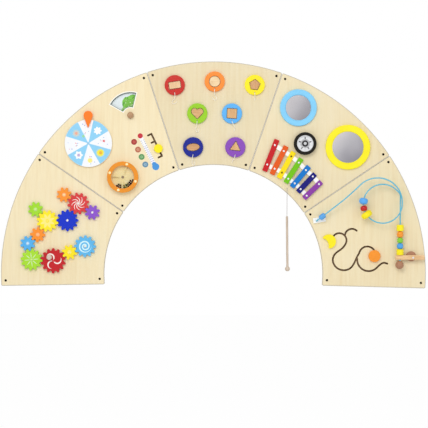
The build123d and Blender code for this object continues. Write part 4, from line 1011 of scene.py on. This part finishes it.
hub_plastic = Finish("silvered hub plastic", roughness=0.28, metallic=0.3)
radius = hub_plastic.distance(ROAD_WHEEL)
# The hub's pale and grey mottle is a painted reflection on the silvering.
mottle = hub_plastic.noise(80, 3)
hub_plastic.set("Base Color", hub_plastic.mix(mottle, dye(190, 192, 197), dye(246, 247, 249)))
# The slot floors are painted dark grey: painted shade in the blind slots.
slot_shade = between(radius, *SLOT_RADII) & (hub_plastic.place()[1] + SLOT_MOUTH).edge(0.0004)
hub_plastic.lay(slot_shade, dye(84, 84, 88))
# A grey ring round the boss is painted shade.
hub_plastic.lay((DISH_R - radius).edge(0.003) * 0.45, dye(120, 120, 124))
hub_plastic.lay((BOSS_R - radius).edge(0.0006), dye(40, 39, 42))
hub_plastic.bump(hub_plastic.noise(420, 2), 0.2, 0.0001)
hub_plastic.onto("wheel_hub")

# ---- Chimes ------------------------------------------------------------------------------
# Seven enamelled metal bars, each shorter than the last, screwed to two white rails.

CHIME_LINES = [  # ends of each bar and its enamel
    ((286.3, 622.8), (229.8, 477.4), dye(200, 28, 36)),
    ((328.7, 592.7), (262.9, 463.4), dye(230, 92, 26)),
    ((362.8, 567.2), (295.6, 446.1), dye(254, 226, 16)),
    ((398.4, 536.7), (326.5, 425.2), dye(116, 196, 14)),
    ((433.5, 500.7), (354.6, 405.6), dye(14, 120, 206)),
    ((462.1, 466.9), (382.8, 382.4), dye(20, 18, 120)),
    ((490.4, 430.8), (411.0, 354.1), dye(140, 62, 166)),
]
BAR_REACH = 0.0128
enamel = Finish("bar enamel", coat=0.08, shine=0.18)
x, _, z = enamel.place()
bar_colour = CHIME_LINES[0][2]
for top, bottom, paint in CHIME_LINES:
    upper, lower = on_board(*top), on_board(*bottom)
    along = (lower - upper).normalized()
    across = abs((x - upper.x) * along.z - (z - upper.z) * along.x)
    bar_colour = enamel.mix((BAR_REACH - across).edge(0.0004), bar_colour, paint)
mottle = enamel.noise(60, 3)
enamel.set("Base Color", enamel.tint(bar_colour, 0.94 + mottle * 0.1))
enamel.set("Roughness", 0.2 + mottle * 0.12)
enamel.bump(enamel.noise(200, 2), 0.2, 0.00006)
enamel.onto("chime_bars")

gloss_paint("white rail paint", dye(255, 254, 251), 0.00005).onto("chime_rails")

BRASS_SCREWS = (on_board(352.9, 545.6), on_board(307.4, 472.8))  # on the yellow bar
BRASS_R, RECESS_SHADE_R = 0.007, 0.0026
steel = Finish("bright steel screws", roughness=0.25, metallic=1.0)
steel.set("Base Color", steel.mix(steel.noise(600, 2), dye(214, 214, 218), dye(240, 240, 242)))
steel.lay(any_of(*(disc(steel, place, BRASS_R) for place in BRASS_SCREWS)), dye(150, 124, 40))
# A dark spot in the middle of each brass head is painted shade in its recess.
steel.lay(any_of(*(disc(steel, place, RECESS_SHADE_R) for place in BRASS_SCREWS)), dye(30, 26, 22))
steel.onto("steel_screws")

# ---- Bead maze ---------------------------------------------------------------------------
# A steel wire in a sky-blue plastic sleeve runs from a pale block, over an arc and round a
# loop, down through a bracket to a turned ball. Painted beads ride on it.

sleeve = Finish("sky-blue plastic sleeve", coat=0.2)
tone = sleeve.noise(120, 2)
sleeve.set("Base Color", sleeve.mix(tone, dye(84, 178, 208), dye(110, 198, 224)))
sleeve.set("Roughness", 0.28 + tone * 0.12)
sleeve.bump(sleeve.noise(500, 2), 0.2, 0.00008)
sleeve.onto("maze_wire")

SPACER, END_BALL = on_board(903.7, 91.8), on_board(849.5, 52.0)
SPACER_R, END_BALL_R = 0.0242, 0.0215
SPACER_TOP = 0.0362  # out from the wall
BALL_TOP_Z = on_board(0, 74.0).z
BLOCK_SIDE_X = 0.60  # the pale block stands left of it, and the other supports right of it
support_beech = beech("support beech", dye(246, 214, 172), dye(238, 200, 152), dye(216, 170, 118), "x")
x, y, z = support_beech.place()
spacer = (SPACER_R - support_beech.distance(SPACER)).edge(0.0006) & (y + SPACER_TOP).edge(0.0002)
end_ball = (END_BALL_R - support_beech.distance(END_BALL)).edge(0.0006)
end_ball = end_ball & (BALL_TOP_Z - z).edge(0.0004)
browning = support_beech.noise(140, 3, (1, 1, 0.3))
brown = support_beech.mix(browning, dye(190, 140, 110), dye(160, 112, 84))
support_beech.lay(spacer | end_ball, brown)
# The pale beech block is painted near white: a painted highlight for the strong light on its face.
support_beech.lay((BLOCK_SIDE_X - x).edge(0.001), dye(254, 254, 252))
support_beech.onto("maze_supports")

BEAD_PAINTS = {
    "bead_start_blue": dye(92, 168, 236),
    "bead_loop_blue": dye(90, 172, 246),
    "bead_loop_red": dye(196, 34, 34),
    "bead_loop_yellow": dye(254, 236, 12),
    "bead_stack_yellow_low": dye(254, 236, 16),
    "bead_stack_blue": dye(84, 170, 240),
    "bead_stack_green": dye(140, 212, 60),
    "bead_stack_orange": dye(250, 156, 50),
    "bead_stack_yellow_top": dye(254, 238, 20),
}
for name, paint in BEAD_PAINTS.items():
    gloss_paint(f"{name} paint", paint, 0.00006).onto(name)
